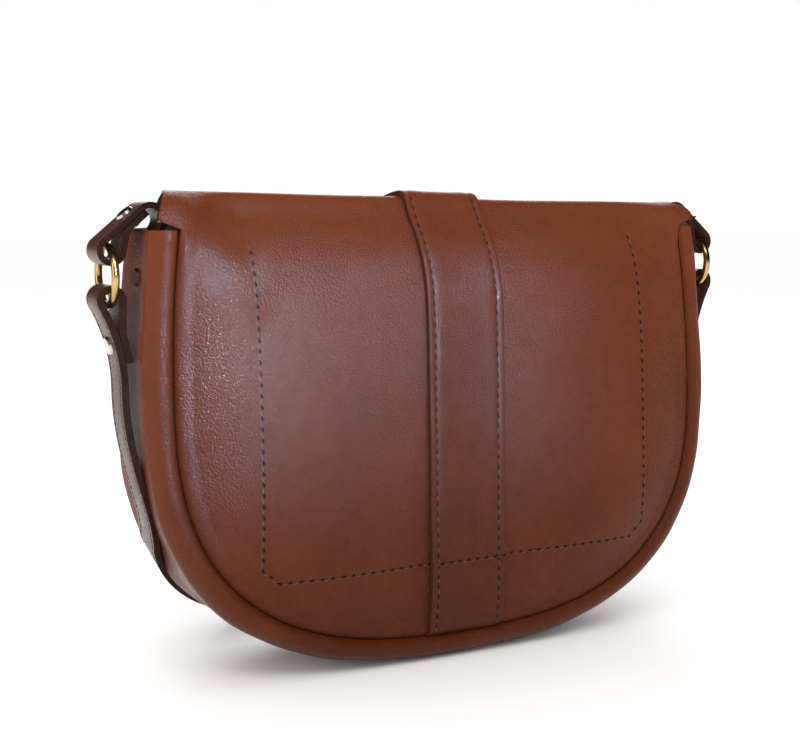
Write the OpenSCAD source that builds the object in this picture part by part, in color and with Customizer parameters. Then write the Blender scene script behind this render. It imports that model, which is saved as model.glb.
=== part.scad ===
// Saddle handbag: D-shaped leather body, wrap-over flap, centre band, ring hardware, shoulder strap.
// Frame: back panel faces -Y, the flap closes on +Y, +Z is up, origin at the centre of the resting flat.

/* [Body] */
// Half width of the seam outline where the bag is widest
seam_half_w = 113; // [107:1:119]
// Half width of the seam outline at its top end
seam_top_half_w = 108.6; // [104:0.2:110]
// Height from the lowest point of the seam to the widest point
seam_drop = 95; // [90:1:100]
// Height from the widest point to the top end of the seam
seam_rise = 61.2; // [57:0.2:65]
// Depth between the two seams at the bottom of the bag
body_depth = 54; // [50:1:60]
// Angle by which each panel leans in towards the top
panel_lean = 3.6; // [3:0.1:4]
// Thickness of the panel leather
panel_t = 2; // [1.6:0.1:2.4]
// Thickness of the gusset leather
gusset_t = 1.8; // [1.4:0.1:2.2]
// How far the gusset roll stands outside the seam line
roll_h = 9.6; // [8:0.1:11]
// How far the middle of the gusset dips below its rolls
gusset_dip = 1.2; // [0.6:0.1:2]
// Depth of leather pressed flat where the bag rests
base_cut = 0.5; // [0.3:0.05:0.7]
// How far a panel stands out between its seams
panel_dome = 3.5; // [2.5:0.1:4.5]
// How far the seam groove sits inside the edge of the gusset
groove_in = 1; // [0.6:0.1:1.4]

/* [Flap] */
// Thickness of the flap leather
flap_t = 2.2; // [1.8:0.1:2.6]
// Height of the flap's back edge above the top end of the seam
step_up = 3.1; // [2.5:0.1:4]
// Half width of the flap at its back edge
flap_back_half_w = 117.4; // [115:0.2:119]
// How much narrower each side of the flap is where it starts down the front
front_narrow = 11.4; // [9:0.2:13]
// Rise of the top bend above the flap's back edge
bend_rise = 13.7; // [12.5:0.1:15]
// Half width of the flap front where it is widest
flap_half_w = 114; // [112:0.5:117]
// Height from the flap's back edge down to its widest point
flap_wide_drop = 51; // [45:1:57]
// Height from the flap's back edge down to its lower edge
flap_drop = 120; // [112:1:126]
// Gap between flap and front panel in the middle of the flap
flap_gap_mid = 3.6; // [3.2:0.1:4.5]
// Gap between flap and front panel along the flap's edge
flap_gap_edge = 2.2; // [1.8:0.1:2.6]

/* [Centre band] */
// Width of the centre band
band_w = 32; // [28:0.5:36]
// Thickness of the centre band
band_t = 2.2; // [1.8:0.1:2.6]
// How far the rounded band tip passes the flap's lower edge
band_tip = 12; // [8:0.5:14]
// Height of the band's lower end above the lowest point of the seam
band_end_up = 1.28; // [1:0.01:1.6]
// Distance of each stitch row from the edge of its strap or band
row_inset = 2.5; // [2:0.1:3]

/* [Pocket] */
// Half width of the pocket stitching at its top
pocket_top_half_w = 83.3; // [78:0.1:86]
// Half width of the pocket stitching above its corners
pocket_low_half_w = 84; // [79:0.1:86]
// Height of the top end of the pocket stitching
pocket_top_z = 160.6; // [155:0.1:162]
// Height of the pocket stitching above its corners
pocket_corner_z = 44.3; // [43:0.1:48]
// Height of the lower line of the pocket stitching
pocket_low_z = 38.8; // [37:0.1:40]
// Width taken off each lower corner
pocket_corner_w = 6.3; // [5:0.1:8]
// Thickness of the pocket patch
pocket_t = 1.2; // [0.8:0.1:1.6]
// How far the patch stands off the back panel in its middle
pocket_bag = 6; // [5:0.5:8]
// How far the patch passes outside its stitching
pocket_edge = 3; // [2:0.5:4]

/* [Thread] */
// Width of a sewn thread row
thread_w = 0.8; // [0.6:0.1:1]
// Height of a sewn thread row above the leather
thread_h = 0.45; // [0.3:0.05:0.6]

/* [Tabs and rings] */
// Width of the ring tabs
tab_w = 14; // [12:0.5:15]
// Thickness of the ring tabs
tab_t = 2.2; // [1.8:0.1:2.4]
// Length of each tab below the gusset edge, inside the bag
tab_inside = 28; // [25:1:31]
// How far below the gusset edge the tab starts to lean inwards
tab_lean_from = 6; // [5:0.5:7]
// Radius of the inward lean
tab_lean_r = 12; // [11:0.5:13]
// Radius of the bend over the gusset edge
tab_bend_r = 5; // [4.7:0.1:5.3]
// Slope of the tab from the bend down to the ring
tab_slope = 40; // [38:0.5:42]
// Straight length of the tab out to the ring loop, beyond the bulge of the bag's side
tab_reach = 13.85; // [13.6:0.05:14.3]
// Radius of the tab loop round the ring
tab_loop_r = 4.1; // [4:0.05:4.2]
// Radius of the bend that closes the tab loop
tab_close_r = 6; // [5.5:0.1:6.5]
// Length of the tab's inner layer past the closed loop
tab_tail = 7.5; // [7:0.1:7.8]
// Place of the tab rivet along the straight
tab_rivet_at = 4.4; // [4:0.1:4.6]
// Outer diameter of the rings
ring_d = 23.8; // [23.4:0.1:24]
// Wire diameter of the rings
ring_wire = 2.8; // [2.6:0.1:2.9]
// Radius of a rivet cap
cap_r = 3.4; // [3:0.1:3.6]
// Thickness of a rivet cap
cap_t = 0.9; // [0.7:0.1:1]
// Radius of a rivet post
post_r = 1.2; // [1:0.1:1.4]

/* [Shoulder strap] */
// Width of the shoulder strap
strap_w = 14; // [12:0.5:15]
// Thickness of the shoulder strap
strap_t = 2.6; // [2.2:0.1:2.8]
// Length of the strap end that swings with its ring
hanger_len = 31; // [30:0.5:32]
// Radius of the long curve in the strap end
hanger_r = 62; // [60:1:64]
// Radius of the strap loop round the ring
hanger_loop_r = 4; // [4:0.1:4.2]
// Turn past a half circle at the end of the strap loop
hanger_fold = 30; // [28:1:32]
// Radius of the bend that closes the strap loop
hanger_close_r = 8; // [7:0.5:9]
// Length of the strap end's inner layer past the closed loop
hanger_tail = 9; // [8:0.5:9.5]
// Place of the strap end rivet above the low end of the strap end
hanger_rivet_at = 16; // [15:0.5:16.5]
// Distance of the strap's stitch rows from its edges
strap_row_inset = 2; // [1.6:0.1:2.4]

/* [Laid strap] */
// Distance of the strap's knee from the bag's middle
knee_x = 119.6; // [119.5:0.1:121]
// Distance of the strap's knee behind the bag's middle
knee_y = 22.4; // [22:0.1:24]
// Height of the strap's knee
knee_z = 70.3; // [69:0.1:72]
// Where the long strap reaches the floor, to the side
long_floor_x = 38; // [36:0.5:40]
// Where the long strap reaches the floor, behind the bag
long_floor_y = 66; // [65:0.5:70]
// Where the short strap comes down, to the side
short_floor_x = 74; // [70:0.5:80]
// Length of the first run of the laid strap
run_first = 130; // [125:1:132]
// Length of each other run of the laid strap
run_len = 120; // [115:1:122]
// Radius of the turns between the runs
turn_r = 7; // [7:0.1:7.5]
// Place of the buckle's pivot bar to the side of the bag's middle
buckle_x = 30; // [28:0.5:32]
// Distance between the buckle's two bars
buckle_len = 22; // [21:0.5:23]
// Wire diameter of the buckle frame
buckle_wire = 3; // [2.8:0.1:3]
// Clearance between the strap's edge and the buckle frame
buckle_side = 0.8; // [0.6:0.1:1]
// Length of the strap tip past the buckle's pivot bar
tip_len = 62; // [58:1:63]
// Gap between the two strap layers beside the buckle
lap_gap = 1.2; // [1.1:0.05:1.3]
// Radius of the buckle prong
prong_r = 0.9; // [0.8:0.05:1]
// Radius of the adjusting holes
hole_r = 1.5; // [1.3:0.1:1.7]
// Distance between the adjusting holes
hole_pitch = 20; // [18:0.5:22]
// Width of the keeper loop
keeper_w = 8; // [7:0.5:9]
// Thickness of the keeper loop
keeper_t = 1.6; // [1.4:0.1:1.8]
// Place of the keeper past the buckle's pivot bar
keeper_at = 24; // [22:0.5:25]

/* [Closure] */
// Height of the magnetic snap above the flap's lower edge
snap_up = 27.6; // [24:0.2:31]
// Radius of the snap discs
snap_r = 8; // [7:0.5:9]
// Thickness of the snap socket
socket_t = 1.2; // [1:0.1:1.3]
// Thickness of the snap stud
stud_t = 1.1; // [1:0.1:1.2]
// Radius of the stud's nub
nub_r = 2.2; // [2:0.1:2.4]
// Radius of the socket's recess
recess_r = 3; // [2.9:0.1:3.2]
// Height of the stud's nub
nub_h = 0.9; // [0.7:0.1:1]
// Thickness of the washer inside the bag
washer_t = 0.8; // [0.6:0.1:1]

/* [Hidden] */
$fn = 48;
eps = 0.03;
joint_gap = 0.3;
fit_gap = 0.1;
cap_gap = 0.2;
post_gap = 0.03;
chord_play = 0.045;
bar_gap = 0.3;
row_gap = 0.15;
outline_exp = 2.5;
flap_exp = 2.6;
bend_exp = 2.4;
dome_exp = 7;
drape_exp = 3.5;
pocket_exp = 6;
roll_exp = 5;
seam_bot_z = roll_h - base_cut;
wide_z = seam_bot_z + seam_drop;
seam_top_z = wide_z + seam_rise;
step_z = seam_top_z + step_up;
flap_wide_z = step_z - flap_wide_drop;
flap_low_z = step_z - flap_drop;
band_low_z = flap_low_z - band_tip;
snap_z = flap_low_z + snap_up;
row_x = band_w / 2 - row_inset;

// Half depth of the bag between its seams at height z
function half_depth(z) = body_depth / 2 - (z - seam_bot_z) * tan(panel_lean);

// Half width of the seam outline at height z
function seam_w(z) = z >= wide_z
  ? seam_half_w - (seam_half_w - seam_top_half_w) * pow(min(z - wide_z, seam_rise) / seam_rise, 2)
  : seam_half_w * pow(max(0, 1 - pow((wide_z - z) / seam_drop, outline_exp)), 1 / outline_exp);

// Share of the way from the panel's middle line to its seam
function share_out(x, z) = z >= wide_z
  ? abs(x) / seam_w(z)
  : pow(pow(abs(x) / seam_half_w, outline_exp) + pow((wide_z - z) / seam_drop, outline_exp),
        1 / outline_exp);

function dome(x, z, p) = panel_dome * (1 - pow(min(1, share_out(x, z)), p));
function panel_out(x, z) = half_depth(z) - groove_in + dome(x, z, dome_exp);

// Heights and widths of the rows of a sheet whose lower end follows a rounded outline
function low_rows(n, e, half_w, top_z, drop) =
  [for (k = [0:n]) let(a = 87 * (1 - k / n)) [top_z - drop * pow(sin(a), 2 / e), half_w * pow(cos(a), 2 / e)]];

// Column shares, closer together towards both side edges
function cols(n) = [for (j = [0:n]) sin(90 * (2 * j / n - 1))];

// Closed solid between an outer and an inner grid of points of the same size
module sheet(outer, inner) {
  nr = len(outer);
  nc = len(outer[0]);
  m = nr * nc;
  pts = concat([for (r = outer) each r], [for (r = inner) each r]);
  f_out = [for (i = [0:nr - 2], j = [0:nc - 2]) let(a = i * nc + j, b = a + nc)
    each [[a, b, b + 1], [a, b + 1, a + 1]]];
  f_in = [for (i = [0:nr - 2], j = [0:nc - 2]) let(a = m + i * nc + j, b = a + nc)
    each [[a, b + 1, b], [a, a + 1, b + 1]]];
  f_left = [for (i = [0:nr - 2]) let(a = i * nc, b = a + nc)
    each [[m + a, m + b, b], [m + a, b, a]]];
  f_right = [for (i = [0:nr - 2]) let(a = i * nc + nc - 1, b = a + nc)
    each [[a, b, m + b], [a, m + b, m + a]]];
  f_start = [for (j = [0:nc - 2]) each [[j, j + 1, m + j + 1], [j, m + j + 1, m + j]]];
  f_end = [for (j = [0:nc - 2]) let(a = (nr - 1) * nc + j)
    each [[a + 1, a, m + a], [a + 1, m + a, m + a + 1]]];
  polyhedron(points = pts, faces = concat(f_out, f_in, f_left, f_right, f_start, f_end), convexity = 10);
}

// Back panel before any holes; the front panel is its mirror image
module panel() {
  lower = [for (r = low_rows(16, outline_exp, seam_half_w - fit_gap, wide_z, seam_drop - fit_gap)) r];
  upper_n = 6;
  upper = [for (k = [1:upper_n]) let(z = wide_z + (step_z - joint_gap / 2 - wide_z) * k / upper_n)
    [z, seam_w(z) - fit_gap]];
  rows = concat(lower, upper);
  sheet([for (r = rows) [for (u = cols(20)) [u * r[1], -panel_out(u * r[1], r[0]), r[0]]]],
        [for (r = rows) [for (u = cols(20)) [u * r[1], panel_t - panel_out(u * r[1], r[0]), r[0]]]]);
}

module back_panel() {
  color("sienna") panel();
}

module front_panel() {
  color("sienna") difference() {
    mirror([0, 1, 0]) panel();
    on_front(snap_z) cylinder(r = post_r + post_gap, h = 4 * panel_t, center = true);
  }
}

// Seam outline as points [x, z] from the left top end round the bottom to the right top end
upper_seam = [for (k = [0:6]) let(z = seam_top_z - seam_rise * k / 7) [-seam_w(z), z]];
lower_seam = [for (k = [0:15]) let(a = 90 * k / 16)
  [-seam_half_w * pow(cos(a), 2 / outline_exp), wide_z - seam_drop * pow(sin(a), 2 / outline_exp)]];
left_seam = concat(upper_seam, lower_seam);
seam_path = concat(left_seam, [[0, seam_bot_z]], [for (k = [len(left_seam) - 1:-1:0]) [-left_seam[k][0], left_seam[k][1]]]);

// Unit normal of a path of plane points, on the right-hand side of the way it runs
function path_normal(p, i) = let(
  a = p[max(0, i - 1)], b = p[min(len(p) - 1, i + 1)], d = b - a) [d[1], -d[0]] / norm(d);

cols_exp = 0.8;
dip_share = 0.75;
gusset_cols = [for (j = [0:14]) let(s = 2 * j / 14 - 1) sign(s) * pow(abs(s), cols_exp)];
// The dip in the middle of the gusset fades out towards the resting flat
function dip_at(z) = gusset_dip * smooth((z - seam_bot_z) / (seam_drop / 2));
function roll_out(u, z) = gusset_t + (roll_h - gusset_t) * (1 - pow(abs(u), roll_exp))
  - dip_at(z) * pow(cos(90 * min(1, abs(u) / dip_share)), 2);

module gusset() {
  n = len(seam_path);
  outer = [for (i = [0:n - 1]) [for (u = gusset_cols) let(q = seam_path[i] + outline_normal(i) * roll_out(u, seam_path[i][1]))
    [q[0], u * half_depth(seam_path[i][1]), max(0, q[1])]]];
  inner = [for (i = [0:n - 1]) [for (u = gusset_cols)
    let(q = seam_path[i] + outline_normal(i) * (roll_out(u, seam_path[i][1]) - gusset_t))
    [q[0], u * half_depth(seam_path[i][1]), q[1]]]];
  color("saddlebrown") difference() {
    sheet(outer, inner);
    at_both_anchors() cylinder(r = post_r + post_gap, h = 8 * gusset_t, center = true);
  }
}

// Outward normal of the seam outline
function outline_normal(i) = i == 0 ? [-1, 0] : i == len(seam_path) - 1 ? [1, 0]
  : path_normal(seam_path, i);

// Thread in the seam groove
module seam_thread() {
  n = len(seam_path);
  grid = [for (i = [1:n - 2]) let(p = seam_path[i], q = outline_normal(i), y = -half_depth(p[1]))
    [for (s = [-1, 1]) [p[0] - q[0] * (thread_w + fit_gap) * (1 - s) / 2, y, p[1] - q[1] * (thread_w + fit_gap) * (1 - s) / 2]]];
  color("peru") translate([0, -fit_gap, 0]) sheet([for (r = grid) [for (p = [r[1], r[0]]) p - [0, thread_h, 0]]],
    [for (r = grid) [r[1], r[0]]]);
}

module seam_thread_back() {
  seam_thread();
}

module seam_thread_front() {
  mirror([0, 1, 0]) seam_thread();
}

// Patch sewn inside the back panel
module inner_pocket() {
  low = pocket_low_z - pocket_edge;
  rows = [for (k = [0:12]) low + (pocket_top_z - low) * (1 - cos(90 * k / 12))];
  half = pocket_low_half_w + pocket_edge;
  function stand(x, z) = fit_gap + pocket_bag * (1 - pow(abs(x) / half, pocket_exp))
    * (1 - pow(1 - (z - low) / (pocket_top_z - low), pocket_exp));
  function y(x, z) = panel_t - panel_out(x, z) + stand(x, z);
  color("tan") sheet([for (z = rows) [for (u = cols(16)) [u * half, y(u * half, z), z]]],
    [for (z = rows) [for (u = cols(16)) [u * half, y(u * half, z) + pocket_t, z]]]);
}

// Points at even steps along a broken line
function along(a, b, n) = [for (k = [0:n - 1]) a + (b - a) * k / n];
pocket_line = concat(
  along([-pocket_top_half_w, pocket_top_z], [-pocket_low_half_w, pocket_corner_z], 12),
  along([-pocket_low_half_w, pocket_corner_z], [pocket_corner_w - pocket_low_half_w, pocket_low_z], 2),
  along([pocket_corner_w - pocket_low_half_w, pocket_low_z], [-band_w / 2 - joint_gap, pocket_low_z], 13),
  along([-band_w / 2 - fit_gap, pocket_low_z], [band_w / 2 + fit_gap, pocket_low_z], 6),
  [[band_w / 2 + fit_gap, pocket_low_z]],
  along([band_w / 2 + joint_gap, pocket_low_z], [pocket_low_half_w - pocket_corner_w, pocket_low_z], 13),
  along([pocket_low_half_w - pocket_corner_w, pocket_low_z], [pocket_low_half_w, pocket_corner_z], 2),
  along([pocket_low_half_w, pocket_corner_z], [pocket_top_half_w, pocket_top_z], 12),
  [[pocket_top_half_w, pocket_top_z]]);

// The row steps up onto the centre band and over the band's own rows
function line_stand(x) = abs(x) < band_w / 2 + (fit_gap + joint_gap) / 2 ? band_t + thread_h + 4 * eps : eps;

module pocket_stitching() {
  n = len(pocket_line);
  function at(i, s, h) = let(p = pocket_line[i] - path_normal(pocket_line, i) * s * thread_w / 2)
    [p[0], -panel_out(p[0], p[1]) - line_stand(p[0]) - h, p[1]];
  color("peru") sheet([for (i = [0:n - 1]) [for (s = [-1, 1]) at(i, -s, thread_h)]],
    [for (i = [0:n - 1]) [for (s = [-1, 1]) at(i, -s, 0)]]);
}

// Centre band on the back panel
band_from_z = seam_bot_z + band_end_up;
band_rows_back = [for (k = [0:18]) band_from_z + (step_z - joint_gap / 2 - band_from_z) * (1 - cos(90 * k / 18))];
band_cols = [-1, -0.5, 0, 0.5, 1];

module band_back() {
  color("sienna") sheet(
    [for (z = band_rows_back) [for (u = band_cols) [u * band_w / 2, -panel_out(u * band_w / 2, z) - eps - band_t, z]]],
    [for (z = band_rows_back) [for (u = band_cols) [u * band_w / 2, -panel_out(u * band_w / 2, z) - eps, z]]]);
}

module band_back_stitching() {
  color("peru") for (side = [-1, 1]) sheet(
    [for (z = band_rows_back) [for (s = [-1, 1]) let(x = side * row_x + s * thread_w / 2)
      [x, -panel_out(x, z) - band_t - 2 * eps - thread_h, z]]],
    [for (z = band_rows_back) [for (s = [-1, 1]) let(x = side * row_x + s * thread_w / 2)
      [x, -panel_out(x, z) - band_t - 2 * eps, z]]]);
}

// Flap: rows run from its back edge over the top bend and down the front
bend_n = 14;
front_rows = concat(
  [for (k = [1:5]) let(z = step_z - flap_wide_drop * k / 5) [z, bend_w(180) + (flap_half_w - bend_w(180)) * sin(90 * k / 5)]],
  [for (k = [1:12]) let(a = 87 * k / 12)
    [flap_wide_z - (flap_drop - flap_wide_drop) * pow(sin(a), 2 / flap_exp), flap_half_w * pow(cos(a), 2 / flap_exp)]]);
function flap_share(x, z) = z >= flap_wide_z ? abs(x) / flap_half_w
  : pow(pow(abs(x) / flap_half_w, flap_exp) + pow((flap_wide_z - z) / (flap_drop - flap_wide_drop), flap_exp), 1 / flap_exp);
function flap_in(x, z) = half_depth(z) - groove_in + dome(x, z, drape_exp) + flap_gap_edge
  + (flap_gap_mid - flap_gap_edge) * (1 - pow(min(1, flap_share(x, z)), 4));
function bend_w(a) = flap_back_half_w - front_narrow * (1 - cos(a)) / 2;

// Point of the flap's bend at angle a, at width x, a distance d outside its outer face
function bend_point(x, a, d) = let(
  yb = -panel_out(min(abs(x), seam_top_half_w), step_z),
  yf = flap_in(x, step_z) + flap_t,
  half = (yf - yb) / 2 + d,
  c = cos(a))
  [x, (yf + yb) / 2 - half * sign(c) * pow(abs(c), 2 / bend_exp),
   step_z + joint_gap / 2 + (bend_rise + d) * pow(sin(a), 2 / bend_exp)];
function front_point(x, z, d) = [x, flap_in(x, z) + flap_t + d, z];

function flap_grid(d) = concat(
  [for (k = [0:bend_n]) let(a = 180 * k / bend_n) [for (u = cols(16)) bend_point(u * bend_w(a), a, d)]],
  [for (r = front_rows) [for (u = cols(16)) front_point(u * r[1], r[0], d)]]);

module flap() {
  color("sienna") difference() {
    sheet(flap_grid(0), flap_grid(-flap_t));
    on_flap(snap_z) cylinder(r = post_r + post_gap, h = 4 * flap_t, center = true);
  }
}

tip_least_share = 0.02;
function tip_share(z) = sqrt(max(tip_least_share, 1 - pow(max(0, band_low_z + band_w / 2 - z) / (band_w / 2), 2)));
band_front_fine = concat([for (k = [1:14]) step_z - (step_z - band_low_z - band_w / 2) * k / 14],
  [for (k = [1:8]) band_low_z + band_w / 2 * (1 - sin(89 * k / 8))]);
function band_flap_grid(d) = concat(
  [for (k = [0:bend_n]) let(a = 180 * k / bend_n) [for (u = band_cols) bend_point(u * band_w / 2, a, d)]],
  [for (z = band_front_fine) [for (u = band_cols) front_point(u * tip_share(z) * band_w / 2, z, d)]]);

module band_flap() {
  color("sienna") sheet(band_flap_grid(eps + band_t), band_flap_grid(eps));
}

module band_flap_stitching() {
  rows_z = [for (k = [1:14]) step_z - (step_z - band_low_z - band_w / 2) * k / 14];
  function row(side, d) = concat(
    [for (k = [0:bend_n]) let(a = 180 * k / bend_n) [for (s = [-1, 1]) bend_point(side * row_x + s * thread_w / 2, a, d)]],
    [for (z = rows_z) [for (s = [-1, 1]) front_point(side * row_x + s * thread_w / 2, z, d)]]);
  color("peru") for (side = [-1, 1]) sheet(row(side, 2 * eps + band_t + thread_h), row(side, 2 * eps + band_t));
}

// Magnetic snap
module on_front(z) {
  lean = atan((panel_out(0, z - snap_r) - panel_out(0, z + snap_r)) / (2 * snap_r));
  translate([0, panel_out(0, z), z]) rotate([lean - 90, 0, 0]) children();
}

module on_flap(z) {
  lean = atan((flap_in(0, z - snap_r) - flap_in(0, z + snap_r)) / (2 * snap_r));
  translate([0, flap_in(0, z), z]) rotate([lean - 90, 0, 0]) children();
}

module snap_socket() {
  color("gold") on_front(snap_z) {
    difference() {
      translate([0, 0, cap_gap]) cylinder(r = snap_r, h = socket_t);
      translate([0, 0, cap_gap + socket_t / 2]) cylinder(r = recess_r, h = socket_t);
    }
    translate([0, 0, -panel_t - 2 * cap_gap - washer_t]) cylinder(r = post_r, h = panel_t + 3 * cap_gap + washer_t);
  }
}

module snap_washer() {
  color("gold") on_front(snap_z) translate([0, 0, -panel_t - 2 * cap_gap - washer_t]) difference() {
    cylinder(r = snap_r - washer_t, h = washer_t);
    translate([0, 0, -washer_t]) cylinder(r = post_r + post_gap, h = 3 * washer_t);
  }
}

module snap_stud() {
  color("gold") on_flap(snap_z) {
    translate([0, 0, -stud_t - cap_gap]) cylinder(r = snap_r, h = stud_t);
    translate([0, 0, -stud_t - cap_gap - nub_h]) cylinder(r = nub_r, h = nub_h + stud_t / 2);
    translate([0, 0, -stud_t / 2 - cap_gap]) cylinder(r = post_r, h = stud_t / 2 + flap_t);
  }
}

// Plane paths made of straights and bends: each move is [length, bend radius, turn angle]
function walk(p, h, moves, i = 0) = i >= len(moves) ? [] : let(
  m = moves[i],
  s = sign(m[2]),
  n = m[1] == 0 ? 1 : ceil(abs(m[2]) / (sqrt(8 * chord_play / m[1]) * 180 / PI)),
  c = p + m[1] * [cos(h + 90 * s), sin(h + 90 * s)],
  seg = m[1] == 0 ? [[p + m[0] * [cos(h), sin(h)], h]]
    : [for (k = [1:n]) let(a = m[2] * k / n) [c + m[1] * [cos(h - 90 * s + a), sin(h - 90 * s + a)], h + a]],
  last = seg[n - 1])
  concat(seg, walk(last[0], last[1], moves, i + 1));
function left_of(q, d) = q[0] + d * [cos(q[1] + 90), sin(q[1] + 90)];
module ribbon(path, t) {
  polygon(concat([for (q = path) left_of(q, t / 2)], [for (k = [len(path) - 1:-1:0]) left_of(path[k], -t / 2)]));
}
// Draws a plane shape of [x, z] points, w wide along Y, on the right-hand side of the bag
module across(w) {
  rotate([90, 0, 0]) linear_extrude(height = w, center = true) children();
}

// Ring tab: rises inside the gusset, bends over its edge, loops round the ring and folds back
anchor_share = 0.6;
tab_lean = 35;
tab_fold = 38;
side_bulge = seam_w(seam_top_z - tab_inside) - seam_top_half_w;
wall_x = seam_top_half_w + min(0, side_bulge) + roll_h - gusset_dip;
tab_run = tab_reach + abs(side_bulge) / cos(tab_slope);
tab_x = wall_x - gusset_t - cap_gap - tab_t / 2 - 4 * fit_gap;
tab_gap = fit_gap + tab_t;
tab_fold_len = (tab_loop_r * (1 + cos(tab_fold)) - tab_close_r * (1 - cos(tab_fold)) - tab_gap) / sin(tab_fold);
tab_start = [tab_x, seam_top_z - tab_inside];
tab_up_moves = [[tab_inside - tab_lean_from, 0, 0], [0, tab_lean_r, tab_lean], [0, tab_bend_r, -90 - tab_lean - tab_slope]];
tab_moves = concat(tab_up_moves, [[tab_run, 0, 0], [0, tab_loop_r, -180 - tab_fold], [tab_fold_len, 0, 0],
  [0, tab_close_r, tab_fold], [tab_tail, 0, 0]]);
tab_path = concat([[tab_start, 90]], walk(tab_start, 90, tab_moves));
tab_knee = walk(tab_start, 90, tab_up_moves);
tab_knee_end = tab_knee[len(tab_knee) - 1][0];
tab_dir = [cos(tab_slope), -sin(tab_slope)];
tab_up = [sin(tab_slope), cos(tab_slope)];
loop_c = tab_knee_end + tab_run * tab_dir - tab_loop_r * tab_up;
rivet_p = tab_knee_end + tab_rivet_at * tab_dir;

// The ring's wire rests in the loop where it leaves the tab's edges, so the ring's top stands higher
ring_r = (ring_d - ring_wire) / 2;
function rise_at(r, w) = sqrt(r * r - w * w / 4);
edge_rise = rise_at(ring_r - ring_wire / 2, tab_w);
ring_c = [loop_c[0], loop_c[1] - tab_loop_r + tab_t / 2 + fit_gap - edge_rise];
axis_z = ring_c[1] + (ring_r + rise_at(ring_r, tab_w)) / 2;

// Cap, post and cap of a rivet through a stack of thickness h, starting at the outer face
module rivet(h) {
  translate([0, 0, cap_gap]) cylinder(r1 = cap_r, r2 = cap_r - cap_t / 2, h = cap_t);
  translate([0, 0, -h - cap_gap - cap_t / 2]) cylinder(r = post_r, h = h + 2 * cap_gap + cap_t);
  translate([0, 0, -h - cap_gap - cap_t]) cylinder(r = cap_r - cap_t, h = cap_t);
}

module at_tab_rivet() {
  translate([rivet_p[0] + tab_up[0] * tab_t / 2, 0, rivet_p[1] + tab_up[1] * tab_t / 2])
    rotate([0, 90 - (90 - tab_slope), 0]) children();
}

anchor_z = seam_top_z - tab_inside * anchor_share;
anchor_x = seam_w(anchor_z) + roll_h - gusset_dip;
anchor_a = atan((seam_w(anchor_z - cap_r) - seam_w(anchor_z + cap_r)) / (2 * cap_r));
// Through the gusset and the tab's upright layer, square to the gusset
anchor_stack = (anchor_x - tab_x + tab_t / 2 + cap_r * sin(anchor_a)) / cos(anchor_a);
module at_anchor() {
  translate([anchor_x, 0, anchor_z]) rotate([0, 90 - anchor_a, 0]) children();
}

module at_both_anchors() {
  at_anchor() children();
  mirror([1, 0, 0]) at_anchor() children();
}

module tab() {
  color("saddlebrown") difference() {
    across(tab_w) ribbon(tab_path, tab_t);
    at_tab_rivet() cylinder(r = post_r + post_gap, h = 6 * tab_t, center = true);
    at_anchor() cylinder(r = post_r + post_gap, h = 8 * tab_t, center = true);
  }
}

module tab_right() {
  tab();
}

module tab_left() {
  mirror([1, 0, 0]) tab();
}

module tab_rivets() {
  color("gold") {
    at_tab_rivet() rivet(2 * tab_t + fit_gap);
    mirror([1, 0, 0]) at_tab_rivet() rivet(2 * tab_t + fit_gap);
  }
}

module anchor_rivets() {
  color("gold") at_both_anchors() rivet(anchor_stack);
}

module ring() {
  color("gold") translate([ring_c[0], 0, ring_c[1]]) rotate([0, 90, 0])
    rotate_extrude() translate([ring_r, 0]) circle(d = ring_wire);
}

module ring_right() {
  ring();
}

module ring_left() {
  mirror([1, 0, 0]) ring();
}

// Strap end: rises to the ring, loops over its wire and folds back on the inner side
hang_gap = strap_t + fit_gap;
hang_turn = hanger_len / hanger_r * 180 / PI;
hang_top_h = 90 - hang_turn;
hang_play = hanger_loop_r - strap_t / 2 - ring_wire / 2;
// The loop's centre, so that the wire meets the inside of the loop's top at the strap's edges
hang_c = [ring_c[0] + hang_play / 3,
  ring_c[1] - rise_at(ring_r - ring_wire / 2, strap_w) - hanger_loop_r + strap_t / 2 + fit_gap];
hang_top = hang_c + hanger_loop_r * [cos(hang_top_h - 90), sin(hang_top_h - 90)];
hang_down = walk(hang_top, hang_top_h + 180, [[0, hanger_r, hang_turn]]);
function flip(path) = [for (k = [len(path) - 1:-1:0]) [path[k][0], path[k][1] - 180]];
hang_low = hang_down[len(hang_down) - 1];
// Centre of the long curve, and the fold that joins the loop to the inner layer beside it
hang_o = hang_top + hanger_r * [cos(hang_top_h - 90), sin(hang_top_h - 90)];
fold_h = hang_top_h + 180 + hanger_fold;
fold_start = hang_c + hanger_loop_r * [cos(fold_h - 90), sin(fold_h - 90)];
fold_dir = [cos(fold_h), sin(fold_h)];
fold_v = fold_start + hanger_close_r * [cos(fold_h - 90), sin(fold_h - 90)] - hang_o;
fold_reach = hanger_r + hang_gap + hanger_close_r;
fold_len = -fold_v * fold_dir - sqrt(max(0, pow(fold_v * fold_dir, 2) - fold_v * fold_v + fold_reach * fold_reach));
fold_far = -fold_v * fold_dir + sqrt(max(0, pow(fold_v * fold_dir, 2) - fold_v * fold_v + fold_reach * fold_reach));
fold_run = fold_len > 0 ? fold_len : fold_far;
fold_c = fold_v + fold_run * fold_dir;
fold_phi = atan2(fold_c[1], fold_c[0]);
fold_turn = fold_h - (fold_phi < 0 ? fold_phi + 360 : fold_phi) - 90;
hang_moves = [[0, hanger_loop_r, 180 + hanger_fold], [fold_run, 0, 0], [0, hanger_close_r, -fold_turn],
  [0, hanger_r + hang_gap, hanger_tail / (hanger_r + hang_gap) * 180 / PI]];
hang_path = concat(flip(hang_down), [[hang_top, hang_top_h]], walk(hang_top, hang_top_h, hang_moves));
hang_rivet = walk(hang_top, hang_top_h + 180, [[0, hanger_r, (hanger_len - hanger_rivet_at) / hanger_r * 180 / PI]]);
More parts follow.
